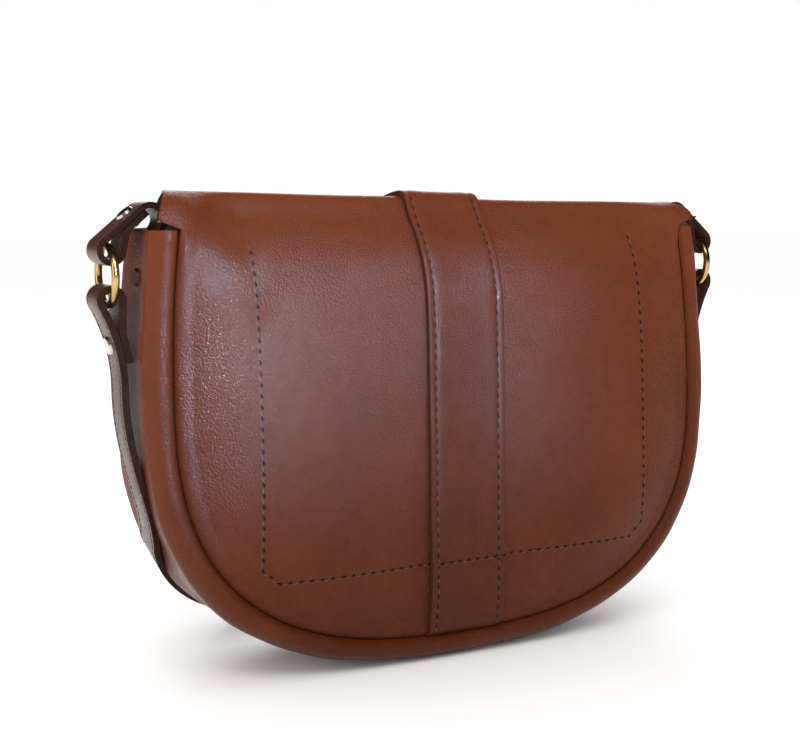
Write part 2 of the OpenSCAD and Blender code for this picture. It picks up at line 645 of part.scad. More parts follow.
hang_rivet_q = hang_rivet[len(hang_rivet) - 1];

module at_end_rivet() {
  q = left_of(hang_rivet_q, strap_t / 2);
  translate([q[0], 0, q[1]]) rotate([0, -hang_rivet_q[1], 0]) children();
}

module strap_end() {
  color("saddlebrown") difference() {
    across(strap_w) ribbon(hang_path, strap_t);
    at_end_rivet() cylinder(r = post_r + post_gap, h = 6 * strap_t, center = true);
  }
}

module strap_end_right() {
  strap_end();
}

module strap_end_left() {
  mirror([1, 0, 0]) strap_end();
}

module end_rivet_right() {
  color("gold") at_end_rivet() rivet(2 * strap_t + fit_gap);
}

module end_rivet_left() {
  mirror([1, 0, 0]) end_rivet_right();
}

// Stitch row near both edges of a strap end, on its outer face
module strap_end_stitching() {
  n = len(hang_down);
  row = [for (k = [0:n]) let(q = k < n ? flip(hang_down)[k] : [hang_top, hang_top_h])
    [left_of(q, -strap_t / 2 - eps - thread_h / 2), q[1]]];
  color("peru") for (side = [-1, 1]) translate([0, side * (strap_w / 2 - strap_row_inset), 0])
    across(thread_w) ribbon(row, thread_h);
}

module end_stitching_right() {
  strap_end_stitching();
}

module end_stitching_left() {
  mirror([1, 0, 0]) strap_end_stitching();
}

// Space curves: a station is [point, direction, width direction]
function unit(v) = v / norm(v);
function smooth(s) = let(c = min(1, max(0, s))) c * c * (3 - 2 * c);
function bez(q, t) = pow(1 - t, 3) * q[0] + 3 * pow(1 - t, 2) * t * q[1] + 3 * (1 - t) * t * t * q[2] + t * t * t * q[3];
function bez_dir(q, t) = unit(pow(1 - t, 2) * (q[1] - q[0]) + 2 * (1 - t) * t * (q[2] - q[1]) + t * t * (q[3] - q[2]));
// Width direction turning from along the bag's depth to upright as the share s grows
twist_shares = [0.14, 0.76];
function turned(d, s) = let(a = 90 * smooth((s - twist_shares[0]) / twist_shares[1]), w = [0, cos(a), sin(a)]) unit(w - (w * d) * d);
function stations(q, n, s_from, s_to, skip) = [for (k = [skip:n]) let(t = k / n, d = bez_dir(q, t))
  [bez(q, t), d, turned(d, s_from + (s_to - s_from) * t)]];

// From the low end of a strap end, past the bag's corner, to the floor behind the bag
lay_from = [-hang_low[0][0], 0, hang_low[0][1] - joint_gap];
knee = [-knee_x, knee_y, knee_z];
knee_way_shares = [0.39, 0.7, -1];
lead_share = 0.45;
knee_twist_share = 0.26;
knee_dir = unit(knee_way_shares);
lead = (lay_from[2] - knee_z) * lead_share;
function lay(floor_p, reach) = concat(
  stations([lay_from, lay_from - [0, 0, lead], knee - knee_dir * lead, knee], 8, 0, knee_twist_share, 0),
  stations([knee, knee + knee_dir * lead, floor_p - [reach, 0, 0], floor_p], 18, knee_twist_share, 1, 1));

// Floor runs: plane moves seen from above, at height z
function floor_run(p, h, moves, z) = [for (q = walk(p, h, moves)) [[q[0][0], q[0][1], z], [cos(q[1]), sin(q[1]), 0], [0, 0, 1]]];

// Buckle in the outermost run: bar centres, layer heights and the strap's shift between them
bar_r = buckle_wire / 2;
frame_half_z = strap_w / 2 + buckle_side + bar_r;
buckle_z = frame_half_z + bar_r + 2 * fit_gap;
wrap_r = bar_r + fit_gap + strap_t / 2;
turns = 4;
row_low_y = long_floor_y + 2 * turns * turn_r;
layer_y = row_low_y + bar_r + strap_t / 2 + bar_gap + wrap_r;
bar_y = layer_y - wrap_r;
over_y = layer_y + strap_t + lap_gap;
shift_len = buckle_len + 4 * bar_r / 3;
shift_a = 2 * atan((over_y - row_low_y) / shift_len);
shift_r = shift_len / 2 / sin(shift_a);
long_start = [-long_floor_x, long_floor_y];
turn_l = [0, turn_r, 180];
turn_rt = [0, turn_r, -180];
run_left_x = run_first - long_floor_x - run_len;
last_run = buckle_x - shift_len - run_left_x;
long_floor = floor_run(long_start, 0, [[run_first, 0, 0], turn_l, [run_len, 0, 0], turn_rt,
  [run_len, 0, 0], turn_l, [run_len, 0, 0], turn_rt], strap_w / 2);
rise_n = 6;
long_rise = [for (k = [1:rise_n]) [[run_left_x + last_run * k / rise_n, row_low_y,
  strap_w / 2 + (buckle_z - strap_w / 2) * smooth(k / rise_n)], [1, 0, 0], [0, 0, 1]]];
long_end = floor_run([buckle_x - shift_len, row_low_y], 0,
  [[0, shift_r, shift_a], [0, shift_r, -shift_a], [tip_len - strap_w / 2, 0, 0]], buckle_z);
tip_from = long_end[len(long_end) - 1][0];
tip = [for (k = [1:7]) let(a = 86 * k / 7) [tip_from + [strap_w / 2 * sin(a), 0, 0], [1, 0, 0], [0, 0, cos(a)]]];
reach_shares = [0.8, 0.6];
long_stations = concat(lay([-long_floor_x, long_floor_y, strap_w / 2], long_floor_x * reach_shares[0]), long_floor, long_rise, long_end, tip);

// The short strap is drawn mirrored, running towards +X, and mirrored back
wrap_close_share = 0.8;
wrap_close_r = strap_t * wrap_close_share;
wrap_close = acos((hang_gap - wrap_r + wrap_close_r) / (wrap_r + wrap_close_r));
wrap_tail = keeper_at - keeper_w / 2 - 5 * bar_r;
short_run = floor_run([-short_floor_x, layer_y], 0,
  [[short_floor_x - buckle_x, 0, 0], [0, wrap_r, -180 - wrap_close], [0, wrap_close_r, wrap_close], [wrap_tail, 0, 0]], buckle_z);
short_stations = concat(lay([-short_floor_x, layer_y, buckle_z], short_floor_x * reach_shares[1]), short_run);

module band_along(st, t) {
  outer = [for (q = st) let(n = unit(cross(q[2], q[1]))) [q[0] + n * t / 2 - q[2] * strap_w / 2, q[0] + n * t / 2 + q[2] * strap_w / 2]];
  inner = [for (q = st) let(n = unit(cross(q[2], q[1]))) [q[0] - n * t / 2 - q[2] * strap_w / 2, q[0] - n * t / 2 + q[2] * strap_w / 2]];
  sheet(outer, inner);
}

prong_rise = (bar_r + prong_r + fit_gap) / buckle_len;
prong_a = atan(prong_rise);
prong_play_share = 0.8;
module at_prong() {
  translate([buckle_x, bar_y, buckle_z]) rotate([0, 0, -prong_a]) rotate([0, -90, 0]) children();
}

module strap_long() {
  color("saddlebrown") difference() {
    band_along(long_stations, strap_t);
    at_prong() cylinder(r = 2 * prong_r + fit_gap, h = buckle_len);
    for (k = [1:2]) translate([buckle_x - buckle_len / 2 - hole_pitch * k, row_low_y, hole_z(k)])
      rotate([90, 0, 0]) cylinder(r = hole_r, h = 4 * strap_t, center = true);
    for (k = [1:2]) translate([buckle_x - buckle_len / 2 + hole_pitch * (k + 1), over_y, buckle_z])
      rotate([90, 0, 0]) cylinder(r = hole_r, h = 2 * strap_t, center = true);
  }
}
function hole_z(k) = strap_w / 2 + (buckle_z - strap_w / 2)
  * smooth((buckle_x - buckle_len / 2 - hole_pitch * k - run_left_x) / last_run);

module at_buckle_rivet() {
  translate([buckle_x + wrap_tail / 2 + 2 * bar_r, layer_y + strap_t / 2, buckle_z]) rotate([-90, 0, 0]) children();
}

module strap_short() {
  slot_w = 2 * prong_r + 6 * fit_gap;
  color("saddlebrown") difference() {
    mirror([1, 0, 0]) band_along(short_stations, strap_t);
    translate([buckle_x - 2 * wrap_r, bar_y - 2 * wrap_r, buckle_z - slot_w / 2])
      cube([2 * wrap_r + 2 * bar_r, 4 * wrap_r, slot_w]);
    at_buckle_rivet() cylinder(r = post_r + post_gap, h = 6 * strap_t, center = true);
  }
}

module buckle_frame() {
  color("gold") for (x = [buckle_x - buckle_len, buckle_x]) {
    translate([x, bar_y, buckle_z]) cylinder(r = bar_r, h = 2 * frame_half_z, center = true);
    for (s = [-1, 1]) translate([x, bar_y, buckle_z + s * frame_half_z]) sphere(r = bar_r);
  }
  color("gold") for (s = [-1, 1]) translate([buckle_x - buckle_len / 2, bar_y, buckle_z + s * frame_half_z])
    rotate([0, 90, 0]) cylinder(r = bar_r, h = buckle_len, center = true);
}

module buckle_prong() {
  color("gold") {
    translate([buckle_x, bar_y, buckle_z]) difference() {
      cylinder(r = bar_r + fit_gap + prong_r, h = 2 * prong_r, center = true);
      cylinder(r = bar_r + fit_gap * prong_play_share, h = 4 * prong_r, center = true);
    }
    at_prong() translate([0, 0, bar_r + prong_r / 2]) cylinder(r = prong_r, h = buckle_len + bar_r - prong_r / 2);
  }
}

module buckle_rivet() {
  color("gold") at_buckle_rivet() rivet(2 * strap_t + fit_gap);
}

module keeper() {
  low_y = layer_y - strap_t / 2 - 2 * fit_gap;
  high_y = over_y + strap_t / 2 + 2 * fit_gap;
  half_z = strap_w / 2 + 3 * fit_gap;
  color("saddlebrown") translate([buckle_x + keeper_at - keeper_w / 2, 0, 0]) difference() {
    translate([0, low_y - keeper_t, buckle_z - half_z - keeper_t])
      cube([keeper_w, high_y - low_y + 2 * keeper_t, 2 * (half_z + keeper_t)]);
    translate([-keeper_w, low_y, buckle_z - half_z]) cube([3 * keeper_w, high_y - low_y, 2 * half_z]);
  }
}

// Stitch rows of the laid straps, on their outer faces
module rows_along(st) {
  off = strap_w / 2 - strap_row_inset;
  for (side = [-1, 1]) {
    outer = [for (q = st) let(n = unit(cross(q[2], q[1])), c = q[0] + n * (strap_t / 2 + row_gap + thread_h) + q[2] * off * side)
      [c - q[2] * thread_w / 2, c + q[2] * thread_w / 2]];
    inner = [for (q = st) let(n = unit(cross(q[2], q[1])), c = q[0] + n * (strap_t / 2 + row_gap) + q[2] * off * side)
      [c - q[2] * thread_w / 2, c + q[2] * thread_w / 2]];
    sheet(outer, inner);
  }
}

module laid_stitching() {
  n_long = 27 + len(long_floor);
  color("peru") {
    rows_along([for (k = [0:n_long - 1]) long_stations[k]]);
    mirror([1, 0, 0]) rows_along([for (k = [0:26]) short_stations[k]]);
  }
}

back_panel();
front_panel();
gusset();
seam_thread_back();
seam_thread_front();
inner_pocket();
pocket_stitching();
band_back();
band_back_stitching();
flap();
band_flap();
band_flap_stitching();
snap_stud();
snap_socket();
snap_washer();
tab_left();
tab_right();
tab_rivets();
anchor_rivets();
ring_left();
ring_right();
strap_end_left();
strap_end_right();
end_rivet_left();
end_rivet_right();
end_stitching_left();
end_stitching_right();
strap_long();
strap_short();
laid_stitching();
buckle_frame();
buckle_prong();
buckle_rivet();
keeper();
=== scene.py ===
"""Looks of the saddle handbag: leather sheets, bands, straps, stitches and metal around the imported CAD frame.

Lengths are in millimetres in the part's frame until a mesh is made, which is in metres.
"""

import math

import bpy
import numpy as np
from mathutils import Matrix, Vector


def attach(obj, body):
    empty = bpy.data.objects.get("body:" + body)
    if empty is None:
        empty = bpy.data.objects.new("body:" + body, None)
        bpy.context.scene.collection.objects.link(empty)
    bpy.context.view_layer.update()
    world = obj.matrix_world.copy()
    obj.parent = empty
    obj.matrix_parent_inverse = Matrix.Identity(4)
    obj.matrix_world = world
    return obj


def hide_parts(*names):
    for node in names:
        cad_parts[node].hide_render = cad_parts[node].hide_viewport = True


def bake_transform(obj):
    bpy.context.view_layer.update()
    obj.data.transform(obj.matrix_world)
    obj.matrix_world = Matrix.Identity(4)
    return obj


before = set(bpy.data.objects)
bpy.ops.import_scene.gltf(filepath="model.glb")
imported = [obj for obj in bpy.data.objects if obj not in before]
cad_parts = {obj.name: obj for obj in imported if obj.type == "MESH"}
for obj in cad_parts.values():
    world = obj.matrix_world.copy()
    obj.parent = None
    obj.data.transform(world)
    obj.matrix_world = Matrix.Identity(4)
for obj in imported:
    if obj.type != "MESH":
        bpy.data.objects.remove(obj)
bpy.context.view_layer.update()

MM = 0.001

# Sizes of the part, as its source names them
SEAM_HALF_W, SEAM_TOP_HALF_W, SEAM_DROP, SEAM_RISE = 113, 108.6, 94.5, 61.2
BODY_DEPTH, PANEL_LEAN, PANEL_T, GUSSET_T = 54, 3.6, 2, 1.8
ROLL_H, GUSSET_DIP, PANEL_DOME, GROOVE_IN = 9.6, 1.2, 3.5, 1
FLAP_T, STEP_UP, FLAP_BACK_HALF_W, FLAP_FRONT_HALF_W, BEND_RISE = 2.2, 3.1, 116.2, 106, 13.7
FLAP_HALF_W, FLAP_WIDE_DROP, FLAP_DROP, FLAP_GAP_MID, FLAP_GAP_EDGE = 114, 51, 120, 3.6, 2.2
BAND_W, BAND_T, BAND_TIP, ROW_INSET = 32, 2.2, 12, 2.5
POCKET_TOP_HALF_W, POCKET_LOW_HALF_W, POCKET_TOP_Z = 83.3, 84, 160.6
POCKET_CORNER_Z, POCKET_LOW_Z, POCKET_CORNER_W = 44.3, 38.8, 6.3
POCKET_T, POCKET_BAG, POCKET_EDGE = 1.2, 6, 3
TAB_W, TAB_T, TAB_INSIDE, TAB_LEAN_FROM, TAB_LEAN_R, TAB_BEND_R = 14, 2.2, 28, 6, 12, 5
TAB_SLOPE, TAB_RUN, TAB_LOOP_R, TAB_CLOSE_R, TAB_TAIL = 40, 17.9035, 4.1, 6, 7.5
TAB_LEAN, TAB_FOLD = 35, 38
RING_D, RING_WIRE = 23.8, 2.8
STRAP_W, STRAP_T, HANGER_LEN, HANGER_R, HANGER_LOOP_R = 14, 2.6, 31, 62, 4
HANGER_FOLD, HANGER_CLOSE_R, HANGER_TAIL, STRAP_ROW_INSET = 30, 8, 9, 2
KNEE = np.array([-113.8, 8, 52])
LONG_FLOOR_X, LONG_FLOOR_Y, SHORT_FLOOR_X = 38, 66, 74
RUN_FIRST, RUN_LEN, TURN_R = 130, 120, 7
BUCKLE_X, BUCKLE_LEN, BUCKLE_WIRE, BUCKLE_SIDE, TIP_LEN, LAP_GAP = 30, 22, 3, 0.8, 62, 1.2
KEEPER_W, KEEPER_T, KEEPER_AT = 8, 1.6, 24
FIT_GAP, CAP_GAP, JOINT_GAP, BAR_GAP = 0.1, 0.2, 0.3, 0.3
OUTLINE_EXP, FLAP_EXP, DRAPE_EXP, POCKET_EXP = 2.65, 2.6, 3.5, 6

SEAM_BOT_Z = ROLL_H
WIDE_Z = SEAM_BOT_Z + SEAM_DROP
SEAM_TOP_Z = WIDE_Z + SEAM_RISE
STEP_Z = SEAM_TOP_Z + STEP_UP
FLAP_WIDE_Z = STEP_Z - FLAP_WIDE_DROP
BAND_LOW_Z = STEP_Z - FLAP_DROP - BAND_TIP
ROW_X = BAND_W / 2 - ROW_INSET

# A panel's sewn edge turns down into the groove and swells towards the middle, the back less near its top
GROOVE_DEEP, EDGE_RISE, EDGE_ROUND, MIDDLE_RISE, MIDDLE_RUN = 1.6, 2.0, 6.0, 7.2, 14.0
HIGH_LOSS, HIGH_FROM, HIGH_RUN = 0.25, 110, 55
FRONT_RISE, FRONT_RUN = 1.5, 22.0
RIM_INSETS = [0, 0.4, 0.9, 1.5, 2.2, 3, 4, 5, 6, 7, 8.4, 10.4, 13]
# Valley beside the back's centre band, and the lean of the back's top towards the ridge
VALLEY_W, VALLEY_Z, VALLEY_DEEP = 40, [10, 62, 102, 128, 150], [4.5, 4.2, 2.6, 1.6, 1.0]
LEAN_FROM, LEAN_UP, LEAN_DEPTH, LEAN_SIDE, LEAN_MOST = 137, 40, 30, 26, 0.98
# Ends of the seam, where the back panel steps out to the flap's width
END_FROM_Z, END_RUN = SEAM_TOP_Z - 8, 9.5
STEP_START_Z, STEP_ROWS, STEP_PULL = SEAM_TOP_Z + 0.5, (0.35, 0.7), 0.6
# Flap: swell, ridge, sag of the worn ridge along its width, and gap to the front panel
FLAP_RISE, FLAP_SPAN, FLAP_RISE_EXP = 3.5, 121, 6
CREST_Y, CREST_EXP, CREST_PULL = -3.5, 1.45, 1.12
SAG_X, SAG_Z = [-118, -108, -60, 0, 60, 108, 118], [2.6, 2.8, 4.0, 5.5, 6.5, 7.1, 7.4]
FLAP_GAP_EXP, BEND_W_EXP = 4, 1.3
# The top bend's rows in degrees; its back and front pieces meet at SPLIT_A
SPLIT_A = 98
BACK_BENDS = np.concatenate([[7.0], np.arange(14, SPLIT_A + 0.1, 6)])
FRONT_BENDS = np.concatenate([[174.0], np.arange(SPLIT_A + 70, SPLIT_A - 0.1, -7)])

# Soft undulations of the leather: seed, wave length and height; and how far from the rim the back's are full
SOFT_BACK, FINE_BACK, SOFT_FLAP, SOFT_RIDGE = (3, 95, 0.45), (5, 30, 0.10), (11, 80, 0.5), (21, 60, 0.25)
CREASES, SLOW_CREASES, SOFT_POCKET = (31, 26, 0.22), (33, 60, 0.3), (41, 50, 0.3)
WAVE_COUNT, SOFT_BACK_RUN, FINE_BACK_RUN = 7, 25, 12


# Small helpers

def smooth(s):
    c = np.clip(s, 0, 1)
    return c * c * (3 - 2 * c)


def paired(x, z):
    return np.broadcast_arrays(np.asarray(x, float), np.asarray(z, float))


def both_sides(half):
    """Places from the left edge to the right one, of those from the middle out."""
    return np.concatenate([-half[:0:-1], half])


def unit(v):
    v = np.asarray(v, float)
    return v / np.linalg.norm(v, axis=-1, keepdims=True)


def signed_pow(c, p):
    return np.sign(c) * np.abs(c) ** p


def waves(x, z, kind):
    """Soft seeded undulation, up and down by about the height of its kind."""
    seed, length, height = kind
    draw = np.random.default_rng(seed)
    total = np.zeros(np.broadcast(x, z).shape)
    for _ in range(WAVE_COUNT):
        way, phase, scale = draw.uniform(0, 2 * np.pi), draw.uniform(0, 2 * np.pi), draw.uniform(0.7, 1.6)
        total += np.sin((np.cos(way) * x + np.sin(way) * z) * 2 * np.pi / (length * scale) + phase)
    return total / math.sqrt(WAVE_COUNT) / 1.4 * height


def spline(points, per):
    """Catmull-Rom curve through the points, with that many places from each to the next."""
    p = np.asarray(points, float)
    p = np.vstack([2 * p[0] - p[1], p, 2 * p[-1] - p[-2]])
    out = []
    for k in range(1, len(p) - 2):
        for t in np.arange(per) / per:
            out.append(0.5 * (2 * p[k] + (p[k + 1] - p[k - 1]) * t
                              + (2 * p[k - 1] - 5 * p[k] + 4 * p[k + 1] - p[k + 2]) * t ** 2
                              + (3 * p[k] - p[k - 1] - 3 * p[k + 1] + p[k + 2]) * t ** 3))
    return np.array(out + [p[-2]])


def lengths(path):
    return np.concatenate([[0], np.cumsum(np.linalg.norm(np.diff(path, axis=0), axis=1))])


def at_length(path, s):
    run = lengths(path)
    return np.stack([np.interp(s, run, path[:, k]) for k in range(path.shape[1])], -1)


def evenly(path, count):
    return at_length(path, np.linspace(0, lengths(path)[-1], count))


# Shape of the body

def half_depth(z):
    return BODY_DEPTH / 2 - (z - SEAM_BOT_Z) * math.tan(math.radians(PANEL_LEAN))


def seam_w(z):
    z = np.asarray(z, float)
    up = np.clip(z - WIDE_Z, 0, SEAM_RISE) / SEAM_RISE
    high = SEAM_HALF_W - (SEAM_HALF_W - SEAM_TOP_HALF_W) * up ** 2
    low = np.clip(1 - (np.clip(WIDE_Z - z, 0, SEAM_DROP) / SEAM_DROP) ** OUTLINE_EXP, 0, 1)
    return np.where(z >= WIDE_Z, high, SEAM_HALF_W * low ** (1 / OUTLINE_EXP))


def low_share(x, below, half_w, drop, power):
    """Share of the way from the middle of the widest row out to the rounded lower outline."""
    return ((np.abs(x) / half_w) ** power + (np.clip(below, 0, None) / drop) ** power) ** (1 / power)


def share_out(x, z):
    low = low_share(x, WIDE_Z - z, SEAM_HALF_W, SEAM_DROP, OUTLINE_EXP)
    return np.where(z >= WIDE_Z, np.abs(x) / np.maximum(seam_w(z), 1), low)


def half_outline(n_up=60, n_low=120):
    """Seam outline as [x, z] from the left top end down to the lowest point."""
    up = [(-float(seam_w(z)), z) for z in np.linspace(SEAM_TOP_Z, WIDE_Z, n_up, endpoint=False)]
    low = []
    for a in np.linspace(0, np.pi / 2, n_low + 1):
        c, s = max(math.cos(a), 0), math.sin(a)
        low.append((-SEAM_HALF_W * c ** (2 / OUTLINE_EXP), WIDE_Z - SEAM_DROP * s ** (2 / OUTLINE_EXP)))
    return np.array(up + low)


left_outline = half_outline()
outline = np.vstack([left_outline, left_outline[-2::-1] * [-1, 1]])
tall_outline = np.vstack([[[-SEAM_TOP_HALF_W, 200]], outline, [[SEAM_TOP_HALF_W, 200]]])
outline_samples = evenly(tall_outline, 1400)
CHUNK = 2000


def nearest_squared(x, z, samples):
    """Squared distance from each place to the nearest sample, a chunk of places at a time."""
    x, z = paired(x, z)
    p = np.stack([x.ravel(), z.ravel()], -1)
    out = np.empty(len(p))
    for k in range(0, len(p), CHUNK):
        out[k:k + CHUNK] = ((p[k:k + CHUNK, None, :] - samples[None]) ** 2).sum(-1).min(1)
    return out.reshape(x.shape)


def inset(x, z):
    """Distance from the seam outline to points inside it."""
    return np.where(share_out(x, z) >= 1, 0, np.sqrt(nearest_squared(x, z, outline_samples)))


def panel_swell(d, rise, run):
    """Outer face of a sewn panel above its seam plane: a round edge out of the groove, then a swell."""
    t = np.clip(d / EDGE_ROUND, 0, 1)
    edge = -GROOVE_DEEP + (EDGE_RISE + GROOVE_DEEP) * np.sqrt(1 - (1 - t) ** 2)
    return edge + rise * (1 - np.exp(-np.clip(d - EDGE_ROUND, 0, None) / run))


def flap_swell(x):
    return FLAP_RISE * (1 - (np.abs(x) / FLAP_SPAN) ** FLAP_RISE_EXP)


pocket_corners = np.array([
    [-POCKET_TOP_HALF_W, POCKET_TOP_Z], [-POCKET_LOW_HALF_W, POCKET_CORNER_Z],
    [POCKET_CORNER_W - POCKET_LOW_HALF_W, POCKET_LOW_Z], [POCKET_LOW_HALF_W - POCKET_CORNER_W, POCKET_LOW_Z],
    [POCKET_LOW_HALF_W, POCKET_CORNER_Z], [POCKET_TOP_HALF_W, POCKET_TOP_Z]])
pocket_samples = evenly(pocket_corners, 900)
ROW_SINK, ROW_SINK_W = 0.3, 2.6


def row_sink(x, z):
    """How far the sewn line of the pocket is pulled into the panel."""
    return ROW_SINK * np.exp(-nearest_squared(x, z, pocket_samples) / ROW_SINK_W ** 2)


def back_out(x, z, sewn=True):
    """How far the back leather's outer face stands from the middle plane of the bag. It swells over the
    pocket on both sides of the band, and leans in towards the crest above the pocket."""
    d = inset(x, z)
    valley = np.interp(z, VALLEY_Z, VALLEY_DEEP) * np.exp(-(x / VALLEY_W) ** 2)
    rise = MIDDLE_RISE * (1 - HIGH_LOSS * smooth((z - HIGH_FROM) / HIGH_RUN))
    swell = panel_swell(d, rise - valley, MIDDLE_RUN)
    share = np.clip((z - LEAN_FROM) / LEAN_UP, 0, LEAN_MOST)
    lean = LEAN_DEPTH * (1 - np.sqrt(1 - share ** 2))
    middle = smooth((SEAM_TOP_HALF_W - np.abs(x)) / LEAN_SIDE)
    end = smooth((z - END_FROM_Z) / END_RUN)
    swell = middle * (swell - lean) + (1 - middle) * ((1 - end) * swell + end * flap_swell(x))
    soft = waves(x, z, SOFT_BACK) * smooth(d / SOFT_BACK_RUN)
    soft = soft + waves(x, z, FINE_BACK) * smooth(d / FINE_BACK_RUN)
    sink = row_sink(x, z) if sewn else 0
    return half_depth(z) - GROOVE_IN + swell + soft * (1 - end) - sink


def front_out(x, z):
    return half_depth(z) - GROOVE_IN + panel_swell(inset(x, z), FRONT_RISE, FRONT_RUN)


def flap_share(x, z):
    low = low_share(x, FLAP_WIDE_Z - z, FLAP_HALF_W, FLAP_DROP - FLAP_WIDE_DROP, FLAP_EXP)
    return np.where(z >= FLAP_WIDE_Z, np.abs(x) / FLAP_HALF_W, low)


def flap_out(x, z):
    """Outer face of the flap's front."""
    swell = PANEL_DOME * (1 - np.clip(share_out(x, z), 0, 1) ** DRAPE_EXP)
    near = 1 - np.clip(flap_share(x, z), 0, 1) ** FLAP_GAP_EXP
    gap = FLAP_GAP_EDGE + (FLAP_GAP_MID - FLAP_GAP_EDGE) * near
    soft = (0.5 + waves(x, z, SOFT_FLAP)) * 0.5 * smooth((STEP_Z - z) / 20)
    return half_depth(z) - GROOVE_IN + swell + gap + FLAP_T + soft


def bend_w(a):
    narrower = np.sin(np.radians(a) / 2) ** BEND_W_EXP
    return FLAP_BACK_HALF_W - (FLAP_BACK_HALF_W - FLAP_FRONT_HALF_W) * narrower


def ridge_sag(x):
    """How far the worn ridge of the flap has sunk, more towards the right end."""
    return np.interp(x, SAG_X, SAG_Z)


def bend_profile(x, a):
    """The top's outer face at width x as y and z: from the back (0 degrees) over the crest to the front
    (180)."""
    at_step = np.full(x.shape, float(STEP_Z))
    y_back = -back_out(x, at_step, False)
    slope = -(back_out(x, at_step, False) - back_out(x, at_step - 0.5, False)) / 0.5
    y_front = flap_out(x, at_step)
    crest_z = STEP_Z + BEND_RISE - ridge_sag(x) + waves(x, x * 0, SOFT_RIDGE)
    pull = CREST_PULL * np.hypot(CREST_Y - y_back, crest_z - STEP_Z)
    start = np.stack([slope, np.ones(x.shape)]) / np.hypot(slope, 1) * pull
    t = np.clip(a / 90, 0, 1)
    keep, gain = (1 + 2 * t) * (1 - t) ** 2, t * t * (3 - 2 * t)
    y = keep * y_back + t * (1 - t) ** 2 * start[0] + gain * CREST_Y + t * t * (t - 1) * pull
    z = keep * STEP_Z + t * (1 - t) ** 2 * start[1] + gain * crest_z
    over = np.radians(np.clip(a - 90, 0, 90))
    y_over = CREST_Y + (y_front - CREST_Y) * np.sin(over) ** (2 / CREST_EXP)
    z_over = STEP_Z + (crest_z - STEP_Z) * np.maximum(np.cos(over), 0) ** (2 / CREST_EXP)
    return np.where(a <= 90, y, y_over), np.where(a <= 90, z, z_over)


def bend(x, a, h=0.0):
    """Point of the top bend at width x and angle a, a height h above the leather."""
    x, a = paired(x, a)
    y, z = bend_profile(x, a)
    if np.any(h):
        y1, z1 = bend_profile(x, np.clip(a - 3, 0, 180))
        y2, z2 = bend_profile(x, np.clip(a + 3, 0, 180))
        run = np.hypot(y2 - y1, z2 - z1)
        y, z = y - h * (z2 - z1) / run, z + h * (y2 - y1) / run
    return np.stack([x, y, z], -1)


def on_back(x, z, h=0.0, sewn=True):
    x, z = paired(x, z)
    return np.stack([x, -back_out(x, z, sewn) - h, z], -1)


def on_flap(x, z, h=0.0):
    x, z = paired(x, z)
    return np.stack([x, flap_out(x, z) + h, z], -1)


# Meshes

# Sheet edge rounding, reach of the painted groove shade from the seam outline, crown of a strap and sink of its
# stitch rows
SHEET_EDGE_R, GROOVE_SHADE_REACH, STRAP_CROWN, STRAP_ROW_DEEP = 0.35, 0.2, 0.1, 0.12


def make_object(name, points, faces, materials, kinds):
    mesh = bpy.data.meshes.new(name)
    mesh.from_pydata((np.asarray(points) * MM).tolist(), [], [list(map(int, f)) for f in faces])
    for m in materials:
        mesh.materials.append(m)
    mesh.polygons.foreach_set("material_index", np.asarray(kinds, np.int32))
    mesh.polygons.foreach_set("use_smooth", np.ones(len(faces), bool))
    mesh.validate()
    mesh.update()
    obj = bpy.data.objects.new(name, mesh)
    bpy.context.scene.collection.objects.link(obj)
    return obj


def normals_of(points, faces):
    f = np.asarray(faces)
    c = np.cross(points[f[:, 2]] - points[f[:, 0]], points[f[:, 3]] - points[f[:, 1]])
    n = np.zeros_like(points)
    for k in range(4):
        np.add.at(n, f[:, k], c)
    return unit(n)


def edge_loops(faces):
    """Directed edges of quads that only one face uses, chained into closed loops."""
    used = {(f[k], f[(k + 1) % 4]): True for f in faces for k in range(4)}
    follow = {a: b for a, b in used if (b, a) not in used}
    loops = []
    while follow:
        start, b = next(iter(follow.items()))
        loop = [start]
        while b != start:
            loop.append(b)
            b = follow.pop(b)
        follow.pop(start)
        loops.append(loop)
    return loops


def shell(name, points, faces, thick, materials, two_layers=False, square=(), groove_shade=()):
    """Closed sheet: outer face as given, inner face thick below it, and a rounded cut edge between them.
    Materials are face, inner face and cut edge. Points in square keep a flat edge, to meet another sheet, and
    faces with a side between two points in dyed take the dark cut-edge material as painted shade in the seam
    groove."""
    points = np.asarray(points, float)
    count = len(points)
    normals = normals_of(points, faces)
    r = min(SHEET_EDGE_R, thick / 3)
    turn = np.radians([30, 60, 90])
    profile = [(r * math.sin(a), r * (1 - math.cos(a))) for a in turn]
    if two_layers:
        notch = r * 0.7
        profile += [(r, thick / 2 - notch), (r - notch, thick / 2), (r, thick / 2 + notch)]
    profile += [(r * math.sin(a), thick - r * (1 - math.cos(a))) for a in turn[::-1]]
    new = [points, points - normals * thick]
    quads = list(map(list, faces)) + [[c + count for c in f[::-1]] for f in faces]
    groove_shade = set(groove_shade)
    kinds = [2 if sum(c in groove_shade for c in f) > 1 else 0 for f in faces] + [1] * len(faces)
    total = 2 * count
    keep_square = set(square)
    for loop in edge_loops(faces):
        b = points[loop]
        ways = unit(np.roll(b, -1, 0) - np.roll(b, 1, 0))
        out = unit(np.cross(ways, normals[loop]))
        reach = np.array([0.0 if i in keep_square else 1.0 for i in loop])[:, None]
        rings = [list(loop)]
        for a, c in profile:
            new.append(b + out * a * reach - normals[loop] * c)
            rings.append(list(range(total, total + len(loop))))
            total += len(loop)
        rings.append([i + count for i in loop])
        for upper, lower in zip(rings, rings[1:]):
            for k in range(len(loop)):
                j = (k + 1) % len(loop)
                quads.append([upper[j], upper[k], lower[k], lower[j]])
                kinds.append(2)
    return make_object(name, np.vstack(new), quads, materials, kinds)


def grid_faces(rows, cols, flip=False):
    return [[a, a + 1, a + cols + 1, a + cols][::-1 if flip else 1]
            for i in range(rows - 1) for a in range(i * cols, (i + 1) * cols - 1)]


